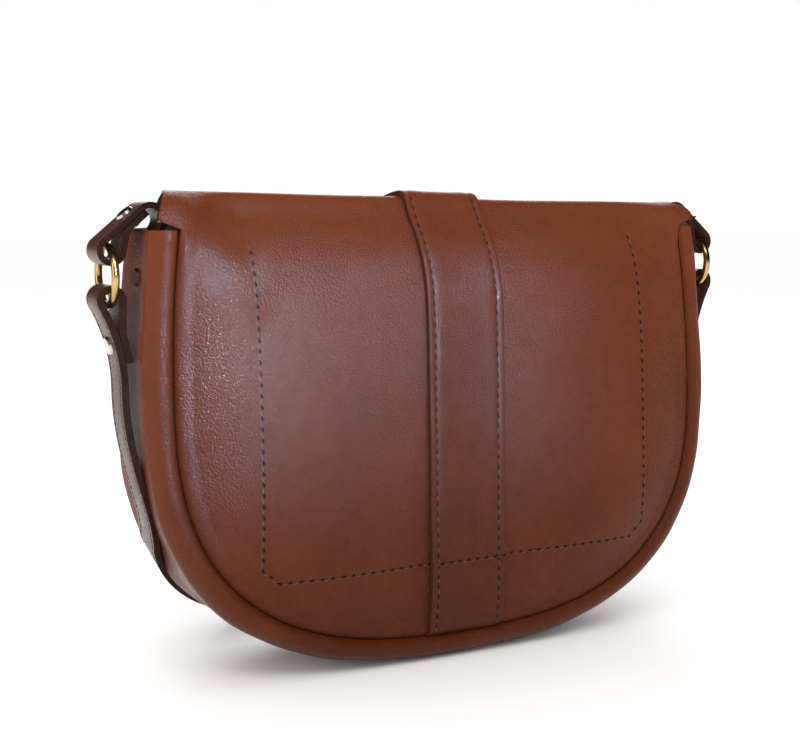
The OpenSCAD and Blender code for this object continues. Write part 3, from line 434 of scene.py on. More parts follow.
def dee(upper, rays):
    """Quads of a D shape. upper holds rows of 2K+1 places from the widest row up, and rays hold K+1 places
    each, from the middle of the widest row out to the rim, turning from the left end round the bottom."""
    rows, k_n = len(upper), len(rays[0]) - 1
    places = np.concatenate([np.asarray(r, float) for r in upper])
    width = 2 * k_n + 1
    index = np.arange(rows * width).reshape(rows, width)
    faces = [[index[j, c], index[j, c + 1], index[j + 1, c + 1], index[j + 1, c]]
             for j in range(rows - 1) for c in range(width - 1)]
    ray_index = [index[0, k_n::-1]]
    inner = []
    total = rows * width
    for m in range(1, len(rays) - 1):
        inner.append(np.asarray(rays[m][1:], float))
        ray_index.append(np.concatenate([[index[0, k_n]], np.arange(total, total + k_n)]))
        total += k_n
    ray_index.append(index[0, k_n:])
    for a, b in zip(ray_index, ray_index[1:]):
        faces += [[a[k], a[k + 1], b[k + 1], b[k]] for k in range(1, k_n)]
    for m in range(0, len(ray_index) - 2, 2):
        a, b, c = ray_index[m:m + 3]
        faces.append([a[0], a[1], b[1], c[1]])
    return np.vstack([places] + inner), faces, index


class Sheet:
    """Places and quads of a sheet, which rows of points grow on from."""

    def __init__(self, points, faces, first):
        self.parts, self.faces, self.rows, self.total = [points], faces, [list(first)], len(points)

    def add(self, row):
        self.parts.append(row)
        self.rows.append(list(range(self.total, self.total + len(row))))
        self.total += len(row)

    def join(self, flip=False):
        """All points, all quads and the last row without its ends."""
        for low, high in zip(self.rows, self.rows[1:]):
            self.faces += [[low[k], low[k + 1], high[k + 1], high[k]] for k in range(len(low) - 1)]
        faces = [f[::-1] for f in self.faces] if flip else self.faces
        return np.vstack(self.parts), faces, self.rows[-1][1:-1]


def sweep(name, stations, section, kinds, closed=False):
    """Strap swept along stations of (point, direction, width direction, width share), a loop if closed."""
    section = np.asarray(section, float)
    rings = []
    for p, d, w, share in stations:
        n = unit(np.cross(w, d))
        rings.append(p + np.outer(section[:, 0] * share, w) + np.outer(section[:, 1], n))
    m, count = len(section), len(rings)
    steps = [(i * m, (i + 1) % count * m) for i in range(count if closed else count - 1)]
    faces = [[a + j, b + j, b + (j + 1) % m, a + (j + 1) % m] for a, b in steps for j in range(m)]
    kind = kinds * len(steps)
    if not closed:
        faces += [list(range(m)), [(count - 1) * m + j for j in range(m - 1, -1, -1)]]
        kind += [2, 2]
    return make_object(name, np.vstack(rings), faces, strap_set, kind)


def upright(path):
    """Stations of a band that lies across the bag's side, from the plane path of (place, heading)."""
    out = []
    for p, h in path:
        d = heading(h)
        out.append((np.array([p[0], 0, p[1]]), np.array([d[0], 0, d[1]]), np.array([0, -1.0, 0]), 1.0))
    return out


def mirrored(stations):
    """The same band on the other side of the bag."""
    flip = np.array([-1, 1, 1])
    return [(p * flip, d * flip, -w * flip, s) for p, d, w, s in stations]


def strap_section(width, thick, row_inset, sink=0.14, edge_r=0.4):
    """Section of a sewn strap, with the kind of the side that starts at each point: 0 face, 1 back, 2 cut
    edge."""
    half, h = width / 2, thick / 2
    row = half - row_inset
    face = [(-row - 0.9, h), (-row - 0.35, h - sink * 0.6), (-row, h - sink), (-row + 0.35, h - sink * 0.6),
            (-row + 0.9, h), (-row / 2, h + STRAP_CROWN * 0.8), (0, h + STRAP_CROWN)]
    face += [(-x, y) for x, y in face[-2::-1]]
    turn = np.radians([90, 60, 30, 0])
    right = [(half - edge_r * (1 - math.cos(a)), h - edge_r * (1 - math.sin(a))) for a in turn]
    right += [(half, 0.15 * h), (half - 0.12, 0), (half, -0.15 * h)]
    right += [(half - edge_r * (1 - math.cos(a)), -h + edge_r * (1 - math.sin(a))) for a in turn[::-1]]
    left = [(-x, -y) for x, y in right]
    back = [(row, -h), (0, -h - STRAP_CROWN / 2), (-row, -h)]
    points = face + right + back + left
    kinds = [0] * len(face) + [2] * (len(right) - 1) + [1] * (len(back) + 1) + [2] * (len(left) - 1) + [0]
    return points, kinds


PITCH, THREAD_LEN, THREAD_R, THREAD_RISE, THREAD_DIP, THREAD_TAPER = 4, 2.5, 0.22, 0.10, 0.35, 0.45
HOLE_LEN, HOLE_WIDTH, HOLE_LIFT = 2.0, 1.35, 0.12
# Slant of a stitch with its play in degrees, play of its length, and its shift beside and along the row
THREAD_SLANT, SLANT_PLAY, LENGTH_PLAY, ROW_SHIFT, HOLE_SHIFT = 20, 4, (0.93, 1.07), 0.22, 0.45


def thread_shape(rings=7, around=8):
    """One stitch along X: a strand that dips into its holes at both ends."""
    points = []
    for i in range(rings):
        t = 2 * i / (rings - 1) - 1
        r = THREAD_R * (1 - abs(t) ** 3 * THREAD_TAPER)
        for j in range(around):
            a = 2 * np.pi * j / around
            high = THREAD_RISE - THREAD_DIP * t * t + r * 0.8 * math.sin(a)
            points.append((t * THREAD_LEN / 2, r * math.cos(a), high))
    last = (rings - 1) * around
    faces = [[a + j, a + (j + 1) % around, a + around + (j + 1) % around, a + around + j]
             for a in range(0, last, around) for j in range(around)]
    faces += [list(range(around - 1, -1, -1)), list(range(last, last + around))]
    return np.array(points), faces


def hole_shape(scale, count=12):
    """A near-black slot on the leather where two stitches meet, narrow at one end and wide at the other:
    painted shade of the stitch hole.
    """
    length, width = HOLE_LEN * scale, HOLE_WIDTH * scale
    points = [(0.1 * length, 0, HOLE_LIFT * 1.5)]
    for k in range(count):
        a = 2 * np.pi * k / count
        wide = 0.62 + 0.38 * math.cos(a)
        points.append((length / 2 * math.cos(a), width / 2 * math.sin(a) * wide, HOLE_LIFT))
    return np.array(points), [[0, 1 + k, 1 + (k + 1) % count] for k in range(count)]


def stitches(name, runs, seed, slant=THREAD_SLANT, hole_scale=1.0):
    """Rows of single stitches with their holes. Each run is (path, normals)."""
    draw = np.random.default_rng(seed)
    strand, strand_faces = thread_shape()
    slot, slot_faces = hole_shape(hole_scale)
    points, faces, kinds, total = [], [], [], 0
    for path, normals in runs:
        whole = lengths(path)[-1]
        count = max(1, round(whole / PITCH))
        step = whole / count
        for i in range(count):
            mid = (i + 0.5) * step
            pair = ((0, strand, strand_faces, mid, -ROW_SHIFT),
                    (1, slot, slot_faces, mid + HOLE_SHIFT * step, ROW_SHIFT))
            for kind, shape, shape_faces, s, shift in pair:
                ends = at_length(path, [max(s - 1, 0), min(s + 1, whole)])
                way = unit(ends[1] - ends[0])
                n = at_length(np.hstack([path, normals]), [s])[0, 3:]
                n = unit(n - way * (n @ way))
                side = np.cross(n, way)
                turn = math.radians(slant + draw.uniform(-SLANT_PLAY, SLANT_PLAY))
                along = way * math.cos(turn) + side * math.sin(turn)
                across = np.cross(n, along)
                grow = draw.uniform(*LENGTH_PLAY)
                place = at_length(path, [s])[0] + side * shift
                points.append(place + shape[:, :1] * grow * along + shape[:, 1:2] * across + shape[:, 2:] * n)
                faces += [[c + total for c in f] for f in shape_faces]
                kinds += [kind] * len(shape_faces)
                total += len(shape)
    return make_object(name, np.vstack(points), faces, thread_set, kinds)


# Materials

class Nodes:
    """Short way to build a shader's nodes."""

    def __init__(self, name):
        self.material = bpy.data.materials.new(name)
        self.material.use_nodes = True
        self.tree = self.material.node_tree
        self.shader = self.tree.nodes["Principled BSDF"]
        self.place = self.tree.nodes.new("ShaderNodeTexCoord").outputs["Object"]

    def new(self, kind, inputs=None, **settings):
        node = self.tree.nodes.new(kind)
        for k, v in settings.items():
            setattr(node, k, v)
        for k, v in (inputs or {}).items():
            self.put(node.inputs[k], v)
        return node

    def put(self, socket, value):
        if isinstance(value, bpy.types.NodeSocket):
            self.tree.links.new(value, socket)
        else:
            socket.default_value = value

    def noise(self, size_mm, detail=3, rough=0.5, stretch=None):
        place = self.place
        if stretch:
            place = self.new("ShaderNodeMapping", {"Vector": place, "Scale": stretch}).outputs[0]
        inputs = {"Vector": place, "Scale": 1 / (size_mm * MM), "Detail": detail, "Roughness": rough}
        return self.new("ShaderNodeTexNoise", inputs).outputs["Fac"]

    def pebbles(self, size_mm):
        inputs = {"Vector": self.place, "Scale": 1 / (size_mm * MM), "Smoothness": 0.2, "Randomness": 1.0}
        return self.new("ShaderNodeTexVoronoi", inputs, feature="SMOOTH_F1").outputs["Distance"]

    def spread(self, value, low, high, to_low, to_high):
        inputs = {"Value": value, "From Min": low, "From Max": high, "To Min": to_low, "To Max": to_high}
        return self.new("ShaderNodeMapRange", inputs).outputs[0]

    def math(self, operation, a, b):
        return self.new("ShaderNodeMath", {0: a, 1: b}, operation=operation).outputs[0]

    def blend(self, share, a, b, how="MIX"):
        node = self.tree.nodes.new("ShaderNodeMix")
        node.data_type, node.blend_type = "RGBA", how
        for k, value in ((0, share), (6, a), (7, b)):
            self.put(node.inputs[k], value)
        return node.outputs[2]

    def bump(self, heights):
        """Chain of bumps from (height, strength, distance in mm)."""
        normal = None
        for height, strength, distance in heights:
            inputs = {"Height": height, "Strength": strength, "Distance": distance * MM}
            if normal is not None:
                inputs["Normal"] = normal
            normal = self.new("ShaderNodeBump", inputs).outputs["Normal"]
        self.set(Normal=normal)

    def set(self, **values):
        for key, value in values.items():
            self.put(self.shader.inputs[key.replace("_", " ")], value)


def leather(name, light, dark, grain=0.8, grain_bump=1.3, rough=0.29, gloss=0.13, fold_bump=0.14):
    """Grained cowhide: two browns in soft clouds with painted light at the top and painted shade towards the
    bottom, pebbles with darker creases, fine pores, uneven gloss.
    """
    n = Nodes(name)
    clouds = n.noise(42, 4, 0.55)
    spots = n.noise(5, 4, 0.6)
    pebble = n.pebbles(grain)
    pores = n.noise(0.35, 2, 0.6)
    folds = n.noise(1.7, 5, 0.65, (1, 1, 2.0))
    crinkle = n.noise(0.75, 2, 0.6, (1, 1, 1.6))
    height = n.new("ShaderNodeSeparateXYZ", {"Vector": n.place}).outputs["Z"]
    # Painted light and shade: the hide's colour goes from dark near the floor to light at the top, as if light
    # falls from above
    painted_light_by_height = n.spread(height, 10 * MM, 175 * MM, 0.06, 0.80)
    mottle = n.math("ADD", n.spread(clouds, 0.3, 0.7, 0, 0.22), n.spread(spots, 0.3, 0.7, 0, 0.14))
    colour = n.blend(n.math("ADD", painted_light_by_height, mottle), dark, light)
    colour = n.blend(n.spread(pebble, 0.3, 0.75, 0, 0.16), colour, tuple(c * 0.4 for c in dark[:3]) + (1,))
    patch = n.spread(n.noise(30, 3, 0.5), 0.35, 0.65, 0.5, 1.0)
    n.set(Base_Color=colour,
          Roughness=n.math("ADD", n.spread(spots, 0.3, 0.7, rough - 0.05, rough + 0.06),
                           n.spread(pebble, 0.2, 0.7, -0.04, 0.10)),
          Specular_IOR_Level=gloss)
    n.bump([(folds, fold_bump, 0.3), (pebble, n.math("MULTIPLY", patch, grain_bump), -0.2),
            (crinkle, n.math("MULTIPLY", patch, 1.0), 0.28), (pores, 0.4, 0.05)])
    return n.material


def cut_edge(name, light, dark):
    """Raw cut edge: fibrous, dull and dark."""
    n = Nodes(name)
    fibres = n.noise(0.5, 5, 0.7)
    layers = n.noise(3, 3, 0.5)
    n.set(Base_Color=n.blend(n.math("MULTIPLY", fibres, n.spread(layers, 0.3, 0.7, 0.6, 1.3)), dark, light),
          Roughness=n.spread(fibres, 0.2, 0.8, 0.7, 0.95), Specular_IOR_Level=0.08)
    n.bump([(fibres, 0.9, 0.3), (layers, 0.3, 0.3)])
    return n.material


def suede(name, light, dark):
    """Flesh side of the hide: a short uneven nap."""
    n = Nodes(name)
    nap = n.noise(0.7, 5, 0.7)
    patches = n.noise(14, 4, 0.6, (1, 1, 0.6))
    tone = n.math("ADD", n.spread(patches, 0.3, 0.7, 0, 0.6), n.spread(nap, 0.3, 0.7, 0, 0.4))
    n.set(Base_Color=n.blend(tone, dark, light),
          Roughness=n.spread(nap, 0.2, 0.8, 0.82, 0.98), Sheen_Weight=0.35, Sheen_Roughness=0.7,
          Sheen_Tint=(0.95, 0.85, 0.75, 1))
    n.bump([(nap, 0.6, 0.15), (patches, 0.2, 0.4)])
    return n.material


def waxed_thread(name, light, dark):
    n = Nodes(name)
    twist = n.new("ShaderNodeTexWave", {"Vector": n.place, "Scale": 900.0, "Distortion": 2.0, "Detail": 1.0},
                  wave_type="BANDS", bands_direction="DIAGONAL").outputs["Fac"]
    fuzz = n.noise(0.3, 3, 0.6)
    n.set(Base_Color=n.blend(n.math("MULTIPLY", twist, n.spread(fuzz, 0.2, 0.8, 0.6, 1.2)), dark, light),
          Roughness=n.spread(fuzz, 0.2, 0.8, 0.5, 0.75), Sheen_Weight=0.15)
    n.bump([(twist, 0.5, 0.08)])
    return n.material


def painted_hole_shade(name):
    n = Nodes(name)
    shade_noise = n.noise(0.6, 3, 0.6)
    # Painted shade: flecked near-black colour standing in for the shadow inside a stitch hole
    n.set(Base_Color=n.blend(shade_noise, (0.006, 0.003, 0.0025, 1), (0.02, 0.008, 0.006, 1)),
          Roughness=n.spread(shade_noise, 0.2, 0.8, 0.85, 1.0), Specular_IOR_Level=0.1)
    return n.material


def metal(name, light, dark, rough):
    """Polished plating with faint scratches and tarnish."""
    n = Nodes(name)
    tarnish = n.noise(5, 5, 0.65)
    scratches = n.noise(0.9, 3, 0.7, (1, 6, 1))
    n.set(Base_Color=n.blend(n.spread(tarnish, 0.35, 0.7, 0, 0.7), light, dark), Metallic=1.0,
          Roughness=n.math("ADD", n.spread(tarnish, 0.3, 0.7, rough, rough + 0.1),
                           n.spread(scratches, 0.5, 0.8, 0, 0.12)))
    n.bump([(scratches, 0.12, 0.02)])
    return n.material


BODY_LIGHT, BODY_DARK = (0.170, 0.040, 0.014, 1), (0.058, 0.010, 0.0025, 1)
BAND_LIGHT, BAND_DARK = (0.158, 0.036, 0.012, 1), (0.045, 0.008, 0.003, 1)
STRAP_LIGHT, STRAP_DARK = (0.090, 0.032, 0.024, 1), (0.050, 0.017, 0.012, 1)

hide = leather("hide_grained", BODY_LIGHT, BODY_DARK)
band_hide = leather("hide_smooth", BAND_LIGHT, BAND_DARK, grain=0.7, grain_bump=0.5, fold_bump=0.1)
strap_hide = leather("hide_strap", STRAP_LIGHT, STRAP_DARK, grain=0.6, grain_bump=0.3, gloss=0.5)
raw_edge = cut_edge("edge_raw", (0.060, 0.022, 0.015, 1), (0.012, 0.005, 0.004, 1))
band_edge = cut_edge("edge_band", (0.120, 0.040, 0.020, 1), (0.020, 0.006, 0.004, 1))
flesh = suede("suede_flesh", (0.34, 0.19, 0.115, 1), (0.20, 0.105, 0.062, 1))
pocket_hide = suede("suede_pocket", (0.42, 0.26, 0.165, 1), (0.27, 0.155, 0.095, 1))
thread = waxed_thread("thread_brown", (0.16, 0.055, 0.036, 1), (0.050, 0.016, 0.011, 1))
hole = painted_hole_shade("painted_hole_shade")
brass = metal("brass_gold", (0.66, 0.46, 0.19, 1), (0.36, 0.23, 0.08, 1), 0.17)
bronze = metal("rivet_bronzed", (0.16, 0.07, 0.045, 1), (0.09, 0.04, 0.028, 1), 0.45)
nickel = metal("nickel_soft", (0.70, 0.67, 0.62, 1), (0.42, 0.39, 0.36, 1), 0.2)
hide_set = [hide, flesh, raw_edge]
band_set = [band_hide, flesh, band_edge]
strap_set = [strap_hide, strap_hide, raw_edge]
thread_set = [thread, hole]


# Back panel, top and flap

inner_cols = np.linspace(0, SEAM_TOP_HALF_W - RIM_INSETS[-1], 46)
rim_cols = SEAM_TOP_HALF_W - np.array(RIM_INSETS[-2::-1], float)
wing_cols = np.array([109.8, 111.2, 112.5, 113.7, 114.7, 115.6, FLAP_BACK_HALF_W])
RAYS = 150


def rim_rows(z_list):
    """Rows of [x, z] places across the panel at each height, close together at the rim."""
    rows = []
    for z in z_list:
        w = float(seam_w(z))
        half = np.concatenate([inner_cols / inner_cols[-1] * (w - RIM_INSETS[-1]),
                               w - np.array(RIM_INSETS[-2::-1])])
        x = both_sides(half)
        rows.append(np.stack([x, np.full(len(x), z)], -1))
    return rows


def rim_rays():
    """Rays from the middle of the widest row to the lower outline."""
    low = outline[(outline[:, 1] <= WIDE_Z + 1e-6)]
    rim = evenly(low, RAYS + 1)
    way = unit(np.gradient(rim, axis=0))
    inward = np.stack([-way[:, 1], way[:, 0]], -1)
    inward[0], inward[-1] = (1, 0), (-1, 0)
    centre = np.array([0, WIDE_Z])
    rays = []
    for p, n in zip(rim, inward):
        deep = p + n * RIM_INSETS[-1]
        inner = centre + (deep - centre) * (inner_cols / inner_cols[-1])[:, None]
        rays.append(np.vstack([inner, [p + n * d for d in RIM_INSETS[-2::-1]]]))
    return rays


def build_back_and_top():
    """Back panel that runs on over the top as the flap, with a sloping step at each end of the seam."""
    z_rows = np.concatenate([np.linspace(WIDE_Z, STEP_START_Z - 10, 24),
                             np.linspace(STEP_START_Z - 8.5, STEP_START_Z, 7)])
    upper = rim_rows(z_rows)
    places, faces, index = dee(upper, rim_rays())
    # Painted shade: the panel's face where it dips to the groove's bottom takes the dark cut-edge material
    groove_shade = np.flatnonzero(inset(places[:, 0], places[:, 1]) < GROOVE_SHADE_REACH)
    points = on_back(places[:, 0], places[:, 1])
    top_x = upper[-1][:, 0]
    wide_x = np.concatenate([-wing_cols[::-1], top_x, wing_cols])
    step = STEP_START_Z + STEP_UP * (wing_cols - SEAM_TOP_HALF_W) / (FLAP_BACK_HALF_W - SEAM_TOP_HALF_W)
    starts = np.concatenate([step[::-1], np.full(len(top_x), STEP_START_Z), step])
    wings = np.concatenate([on_back(-wing_cols[::-1], step[::-1], 0, False),
                            on_back(wing_cols, step, 0, False)])
    left, right = np.split(len(points) + np.arange(len(wings)), 2)
    sheet = Sheet(np.vstack([points, wings]), faces, [*left, *index[-1], *right])
    first_bend = bend(wide_x, BACK_BENDS[0])
    for share in STEP_ROWS:
        z = starts + (STEP_Z - starts) * share
        z = np.minimum(z, STEP_Z - 0.2) if share < 0.5 else z
        flat = on_back(wide_x, np.minimum(z, STEP_Z), 0, False)
        gain = np.clip((starts - STEP_START_Z) / STEP_UP, 0, 1)[:, None] * share * STEP_PULL
        sheet.add(flat + (first_bend - flat) * gain)
    for a in BACK_BENDS:
        sheet.add(bend(wide_x * bend_w(a) / FLAP_BACK_HALF_W, a))
    points, faces, last = sheet.join()
    piece = shell("back_and_top", points, faces, PANEL_T, hide_set, square=last, groove_shade=groove_shade)
    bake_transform(piece)
    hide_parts("back_panel")


def build_flap_front():
    """Flap from just past the ridge down the front to its rounded lower edge."""
    shares = np.concatenate([inner_cols, rim_cols, wing_cols]) / FLAP_BACK_HALF_W
    full = both_sides(shares)
    z_rows = np.linspace(FLAP_WIDE_Z, STEP_Z - 1.5, 24)
    widths = FLAP_FRONT_HALF_W + (FLAP_HALF_W - FLAP_FRONT_HALF_W) * np.sin(
        np.pi / 2 * (STEP_Z - z_rows) / FLAP_WIDE_DROP)
    upper = [np.stack([full * w, np.full(len(full), z)], -1) for z, w in zip(z_rows, widths)]
    rays = []
    for a in np.linspace(0, np.pi, RAYS + 1):
        x = -FLAP_HALF_W * signed_pow(math.cos(a), 2 / FLAP_EXP)
        z = (FLAP_DROP - FLAP_WIDE_DROP) * max(math.sin(a), 0) ** (2 / FLAP_EXP)
        rays.append(np.stack([x * shares, FLAP_WIDE_Z - z * shares], -1))
    places, faces, index = dee(upper, rays)
    sheet = Sheet(on_flap(places[:, 0], places[:, 1]), faces, index[-1])
    for a in FRONT_BENDS:
        sheet.add(bend(full * bend_w(a), a))
    points, faces, last = sheet.join(flip=True)
    piece = shell("flap_front", points, faces, FLAP_T, hide_set, square=last)
    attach(piece, "flap")
    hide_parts("flap")


def build_front_panel():
    z_rows = np.concatenate([np.linspace(WIDE_Z, SEAM_TOP_Z, 22), [STEP_Z - 1.2, STEP_Z - 0.5, STEP_Z - 0.2]])
    places, faces, _ = dee(rim_rows(z_rows), rim_rays())
    points = np.stack([places[:, 0], front_out(places[:, 0], places[:, 1]), places[:, 1]], -1)
    piece = shell("front_leather", points, [f[::-1] for f in faces], PANEL_T, hide_set)
    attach(piece, "bag")
    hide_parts("front_panel")


# Gusset

ROLL_PROFILE = [(-0.6, 2.6), (0.3, 0.9), (1.6, -0.5), (3.6, -0.9), (6.2, 0.3), (8.4, 3.2)]
WALL_PROFILE = [(9.5, 0.25), (9.3, 0.45), (8.6, 0.75), (8.4, 1)]


def build_gusset():
    """Gusset that rolls out of both seams, dips along its middle and is pressed flat where the bag rests."""
    count = 300
    run = lengths(outline)[-1]
    path = evenly(outline, count)
    way = unit(np.gradient(path, axis=0))
    way[0], way[-1] = (0, -1), (0, 1)
    out = np.stack([way[:, 1], -way[:, 0]], -1)
    rows = []
    for i, (p, n) in enumerate(zip(path, out)):
        hd = float(half_depth(p[1]))
        half = [(r, y - hd) for r, y in ROLL_PROFILE] + [(r, -hd * (1 - share)) for r, share in WALL_PROFILE]
        profile = spline(half, 4)
        profile = np.vstack([profile, profile[-2::-1] * [1, -1]])
        s = np.full(len(profile), i / count * run)
        inner = smooth((profile[:, 0] - 2) / 4)
        crease = waves(s, profile[:, 1], CREASES) + waves(s, profile[:, 1] * 0.5, SLOW_CREASES)
        r = profile[:, 0] + crease * inner
        z = p[1] + n[1] * r
        rows.append(np.stack([p[0] + n[0] * r, profile[:, 1], np.maximum(z, 0)], -1))
    grid = np.array(rows)
    width = grid.shape[1]
    index = np.arange(count * width).reshape(count, width)
    # Painted shade: the gusset's outermost rows, down in both seam grooves, take the dark cut-edge material
    piece = shell("gusset_leather", grid.reshape(-1, 3), grid_faces(count, width), GUSSET_T, hide_set,
                  groove_shade=index[:, [0, 1, 2, -3, -2, -1]].ravel())
    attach(piece, "bag")
    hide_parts("gusset")


# Centre band

band_half = np.array([0, 3, 6, 9, 11.3, 12.5, 13.1, ROW_X, 13.9, 14.5, 15.2, 15.65, BAND_W / 2])
band_cols = both_sides(band_half)
# Sunk along the sewn row, swelling beside it: height, distance from the band's middle and half width
BAND_BUMPS = ((-0.32, ROW_X, 0.6), (0.22, 10.6, 2.2), (0.12, 15, 0.7))


def band_lift(x):
    """Height of the band above the leather under it."""
    return sum((h * np.exp(-((np.abs(x) - at) / w) ** 2) for h, at, w in BAND_BUMPS), BAND_T)


def tucked(z):
    """Share of the band's thickness that is left where its low end runs into the bottom groove."""
    return 0.35 + 0.65 * smooth((z - SEAM_BOT_Z) / 5)


def build_band():
    """Centre band in two pieces that meet past the ridge, like the flap under it."""
    back_z = np.concatenate([SEAM_BOT_Z + np.array([0.5, 0.8, 1.2, 1.7, 2.4, 3.2, 4.2, 5.4, 7, 9]),
                             np.linspace(SEAM_BOT_Z + 11, STEP_Z - 1, 70)])
    n_cols = len(band_cols)
    lift = band_lift(band_cols)
    rows = [on_back(band_cols, z, lift * tucked(z), False) for z in back_z]
    grid = np.array(rows + [bend(band_cols, a, lift) for a in BACK_BENDS])
    last = [(len(grid) - 1) * n_cols + k for k in range(1, n_cols - 1)]
    back = shell("band_back_and_top", grid.reshape(-1, 3), grid_faces(len(grid), n_cols), BAND_T, band_set,
                 two_layers=True, square=last)
    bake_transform(back)
    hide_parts("band_back")

    half = BAND_W / 2
    tip_z = BAND_LOW_Z + half
    shares = band_half / half
    z_rows = np.linspace(tip_z, STEP_Z - 1.5, 50)
    upper = [np.stack([band_cols, np.full(n_cols, z)], -1) for z in z_rows]
    rays = [np.stack([-half * math.cos(a) * shares, tip_z - half * math.sin(a) * shares], -1)
            for a in np.linspace(0, np.pi, 41)]
    places, faces, index = dee(upper, rays)
    out = np.where(places[:, 1] < tip_z, np.hypot(places[:, 0], places[:, 1] - tip_z), np.abs(places[:, 0]))
    sheet = Sheet(on_flap(places[:, 0], places[:, 1], band_lift(out)), faces, index[-1])
    for a in FRONT_BENDS:
        sheet.add(bend(band_cols, a, lift))
    points, faces, last = sheet.join(flip=True)
    front = shell("band_front", points, faces, BAND_T, band_set, two_layers=True, square=last)
    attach(front, "flap")
    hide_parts("band_flap")


def row_normals(path, across=(1, 0, 0)):
    """Normals of a row whose leather is level along the given direction."""
    return unit(np.cross(across, np.gradient(path, axis=0)))


def build_band_stitches():
    low, high = SEAM_BOT_Z + 1.5, STEP_Z - 1
    lift = float(band_lift(np.array(ROW_X)))
    back_runs, front_runs = [], []
    for side in (-1, 1):
        x = side * ROW_X
        z = np.linspace(low, high, 90)
        path = np.vstack([on_back(x, z, lift * tucked(z), False),
                          bend(x, np.linspace(BACK_BENDS[0], SPLIT_A, 9), lift)])
        back_runs.append((path, row_normals(path)))
        z = np.linspace(STEP_Z - 1.5, BAND_LOW_Z + BAND_W / 2, 60)
        path = np.vstack([bend(x, np.linspace(SPLIT_A, FRONT_BENDS[0], 9), lift), on_flap(x, z, lift)])
        front_runs.append((path, row_normals(path)))
    a = np.linspace(0, np.pi, 60)
    tip_z = BAND_LOW_Z + BAND_W / 2
    path = on_flap(-ROW_X * np.cos(a), tip_z - ROW_X * np.sin(a), lift)
    front_runs.append((path, np.tile([0, 1.0, 0], (60, 1))))
    back = stitches("band_back_stitches", back_runs, seed=2)
    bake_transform(back)
    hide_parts("band_back_stitching")
    front = stitches("band_front_stitches", front_runs, seed=3)
    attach(front, "flap")
    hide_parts("band_flap_stitching")


# Pocket

def build_pocket():
    low = POCKET_LOW_Z - POCKET_EDGE
    half = POCKET_LOW_HALF_W + POCKET_EDGE
    z = low + (POCKET_TOP_Z - low) * (1 - np.cos(np.linspace(0, np.pi / 2, 34)))
    x = half * np.sin(np.linspace(-np.pi / 2, np.pi / 2, 57))
    gx, gz = np.meshgrid(x, z)
    stand = FIT_GAP + POCKET_BAG * (1 - (np.abs(gx) / half) ** POCKET_EXP) * (
        1 - (1 - (gz - low) / (POCKET_TOP_Z - low)) ** POCKET_EXP)
    y = PANEL_T - back_out(gx, gz) + stand + POCKET_T + waves(gx, gz, SOFT_POCKET) * np.clip(stand - 1, 0, 1)
    points = np.stack([gx, y, gz], -1).reshape(-1, 3)
    patch = shell("pocket_patch", points, grid_faces(len(z), len(x), True), POCKET_T,
                  [pocket_hide, flesh, raw_edge])
    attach(patch, "bag")
    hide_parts("inner_pocket")


def panel_row(path, lift=0.0, sewn=True):
    """A row on the back panel from [x, z] places, with the leather's own normals."""
    x, z = path[:, 0], path[:, 1]
    h = 0.4
    fx = (back_out(x + h, z, False) - back_out(x - h, z, False)) / (2 * h)
    fz = (back_out(x, z + h, False) - back_out(x, z - h, False)) / (2 * h)
    return on_back(x, z, lift, sewn), unit(-np.stack([fx, np.ones(len(x)), fz], -1))


def build_pocket_stitches():
    """The U of stitches that holds the pocket, stepping up over the centre band."""
    edge = BAND_W / 2 + 0.4
    runs = []
    left = np.vstack([pocket_corners[:3], [[-edge, POCKET_LOW_Z]]])
    for corners in (left, (left * [-1, 1])[::-1]):
        for a, b in zip(corners, corners[1:]):
            n = max(3, int(np.linalg.norm(b - a) / 2))
            runs.append(panel_row(a + (b - a) * np.linspace(0, 1, n)[:, None]))
    x = np.linspace(-BAND_W / 2 + 0.3, BAND_W / 2 - 0.3, 40)
    path, normals = panel_row(np.stack([x, np.full(40, POCKET_LOW_Z)], -1), 0, False)
    path[:, 1] -= band_lift(x)
    runs.append((path, normals))
    piece = stitches("pocket_stitches", runs, seed=4, slant=14)
    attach(piece, "bag")
    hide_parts("pocket_stitching")


SEAM_ROW_IN = 2.2


def build_seam_stitches():
    inner = at_length(outline, np.linspace(6, lengths(outline)[-1] - 6, 420))
    for side, name in ((-1, "back"), (1, "front")):
        y = side * (half_depth(inner[:, 1]) - SEAM_ROW_IN)
        path = np.stack([inner[:, 0], y, inner[:, 1]], -1)
        normals = np.tile([0.0, side, 0], (len(path), 1))
        piece = stitches(f"seam_stitches_{name}", [(path, normals)], seed=6, slant=8, hole_scale=0.8)
        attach(piece, "bag")
        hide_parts(f"seam_thread_{name}")


# Tabs and straps

def heading(h):
    return np.array([math.cos(math.radians(h)), math.sin(math.radians(h))])


CHORD_PLAY = 0.006
RIGHT, UP = np.array([1.0, 0, 0]), np.array([0, 0, 1.0])


def walk(p, h, moves):
    """Plane path of straights and bends, each move [length, bend radius, turn angle], as (place, heading)."""
    out = []
    for length, radius, turn in moves:
        s = np.sign(turn)
        if radius == 0:
            n = max(1, int(length / 2))
            out += [(p + length * k / n * heading(h), h) for k in range(1, n + 1)]
        else:
            n = max(2, math.ceil(abs(turn) / math.degrees(math.sqrt(8 * CHORD_PLAY / radius))))
            c = p + radius * heading(h + 90 * s)
            for k in range(1, n + 1):
                out.append((c + radius * heading(h - 90 * s + turn * k / n), h + turn * k / n))
        p, h = out[-1]
    return out


def rise_at(r, w):
    return math.sqrt(r * r - w * w / 4)


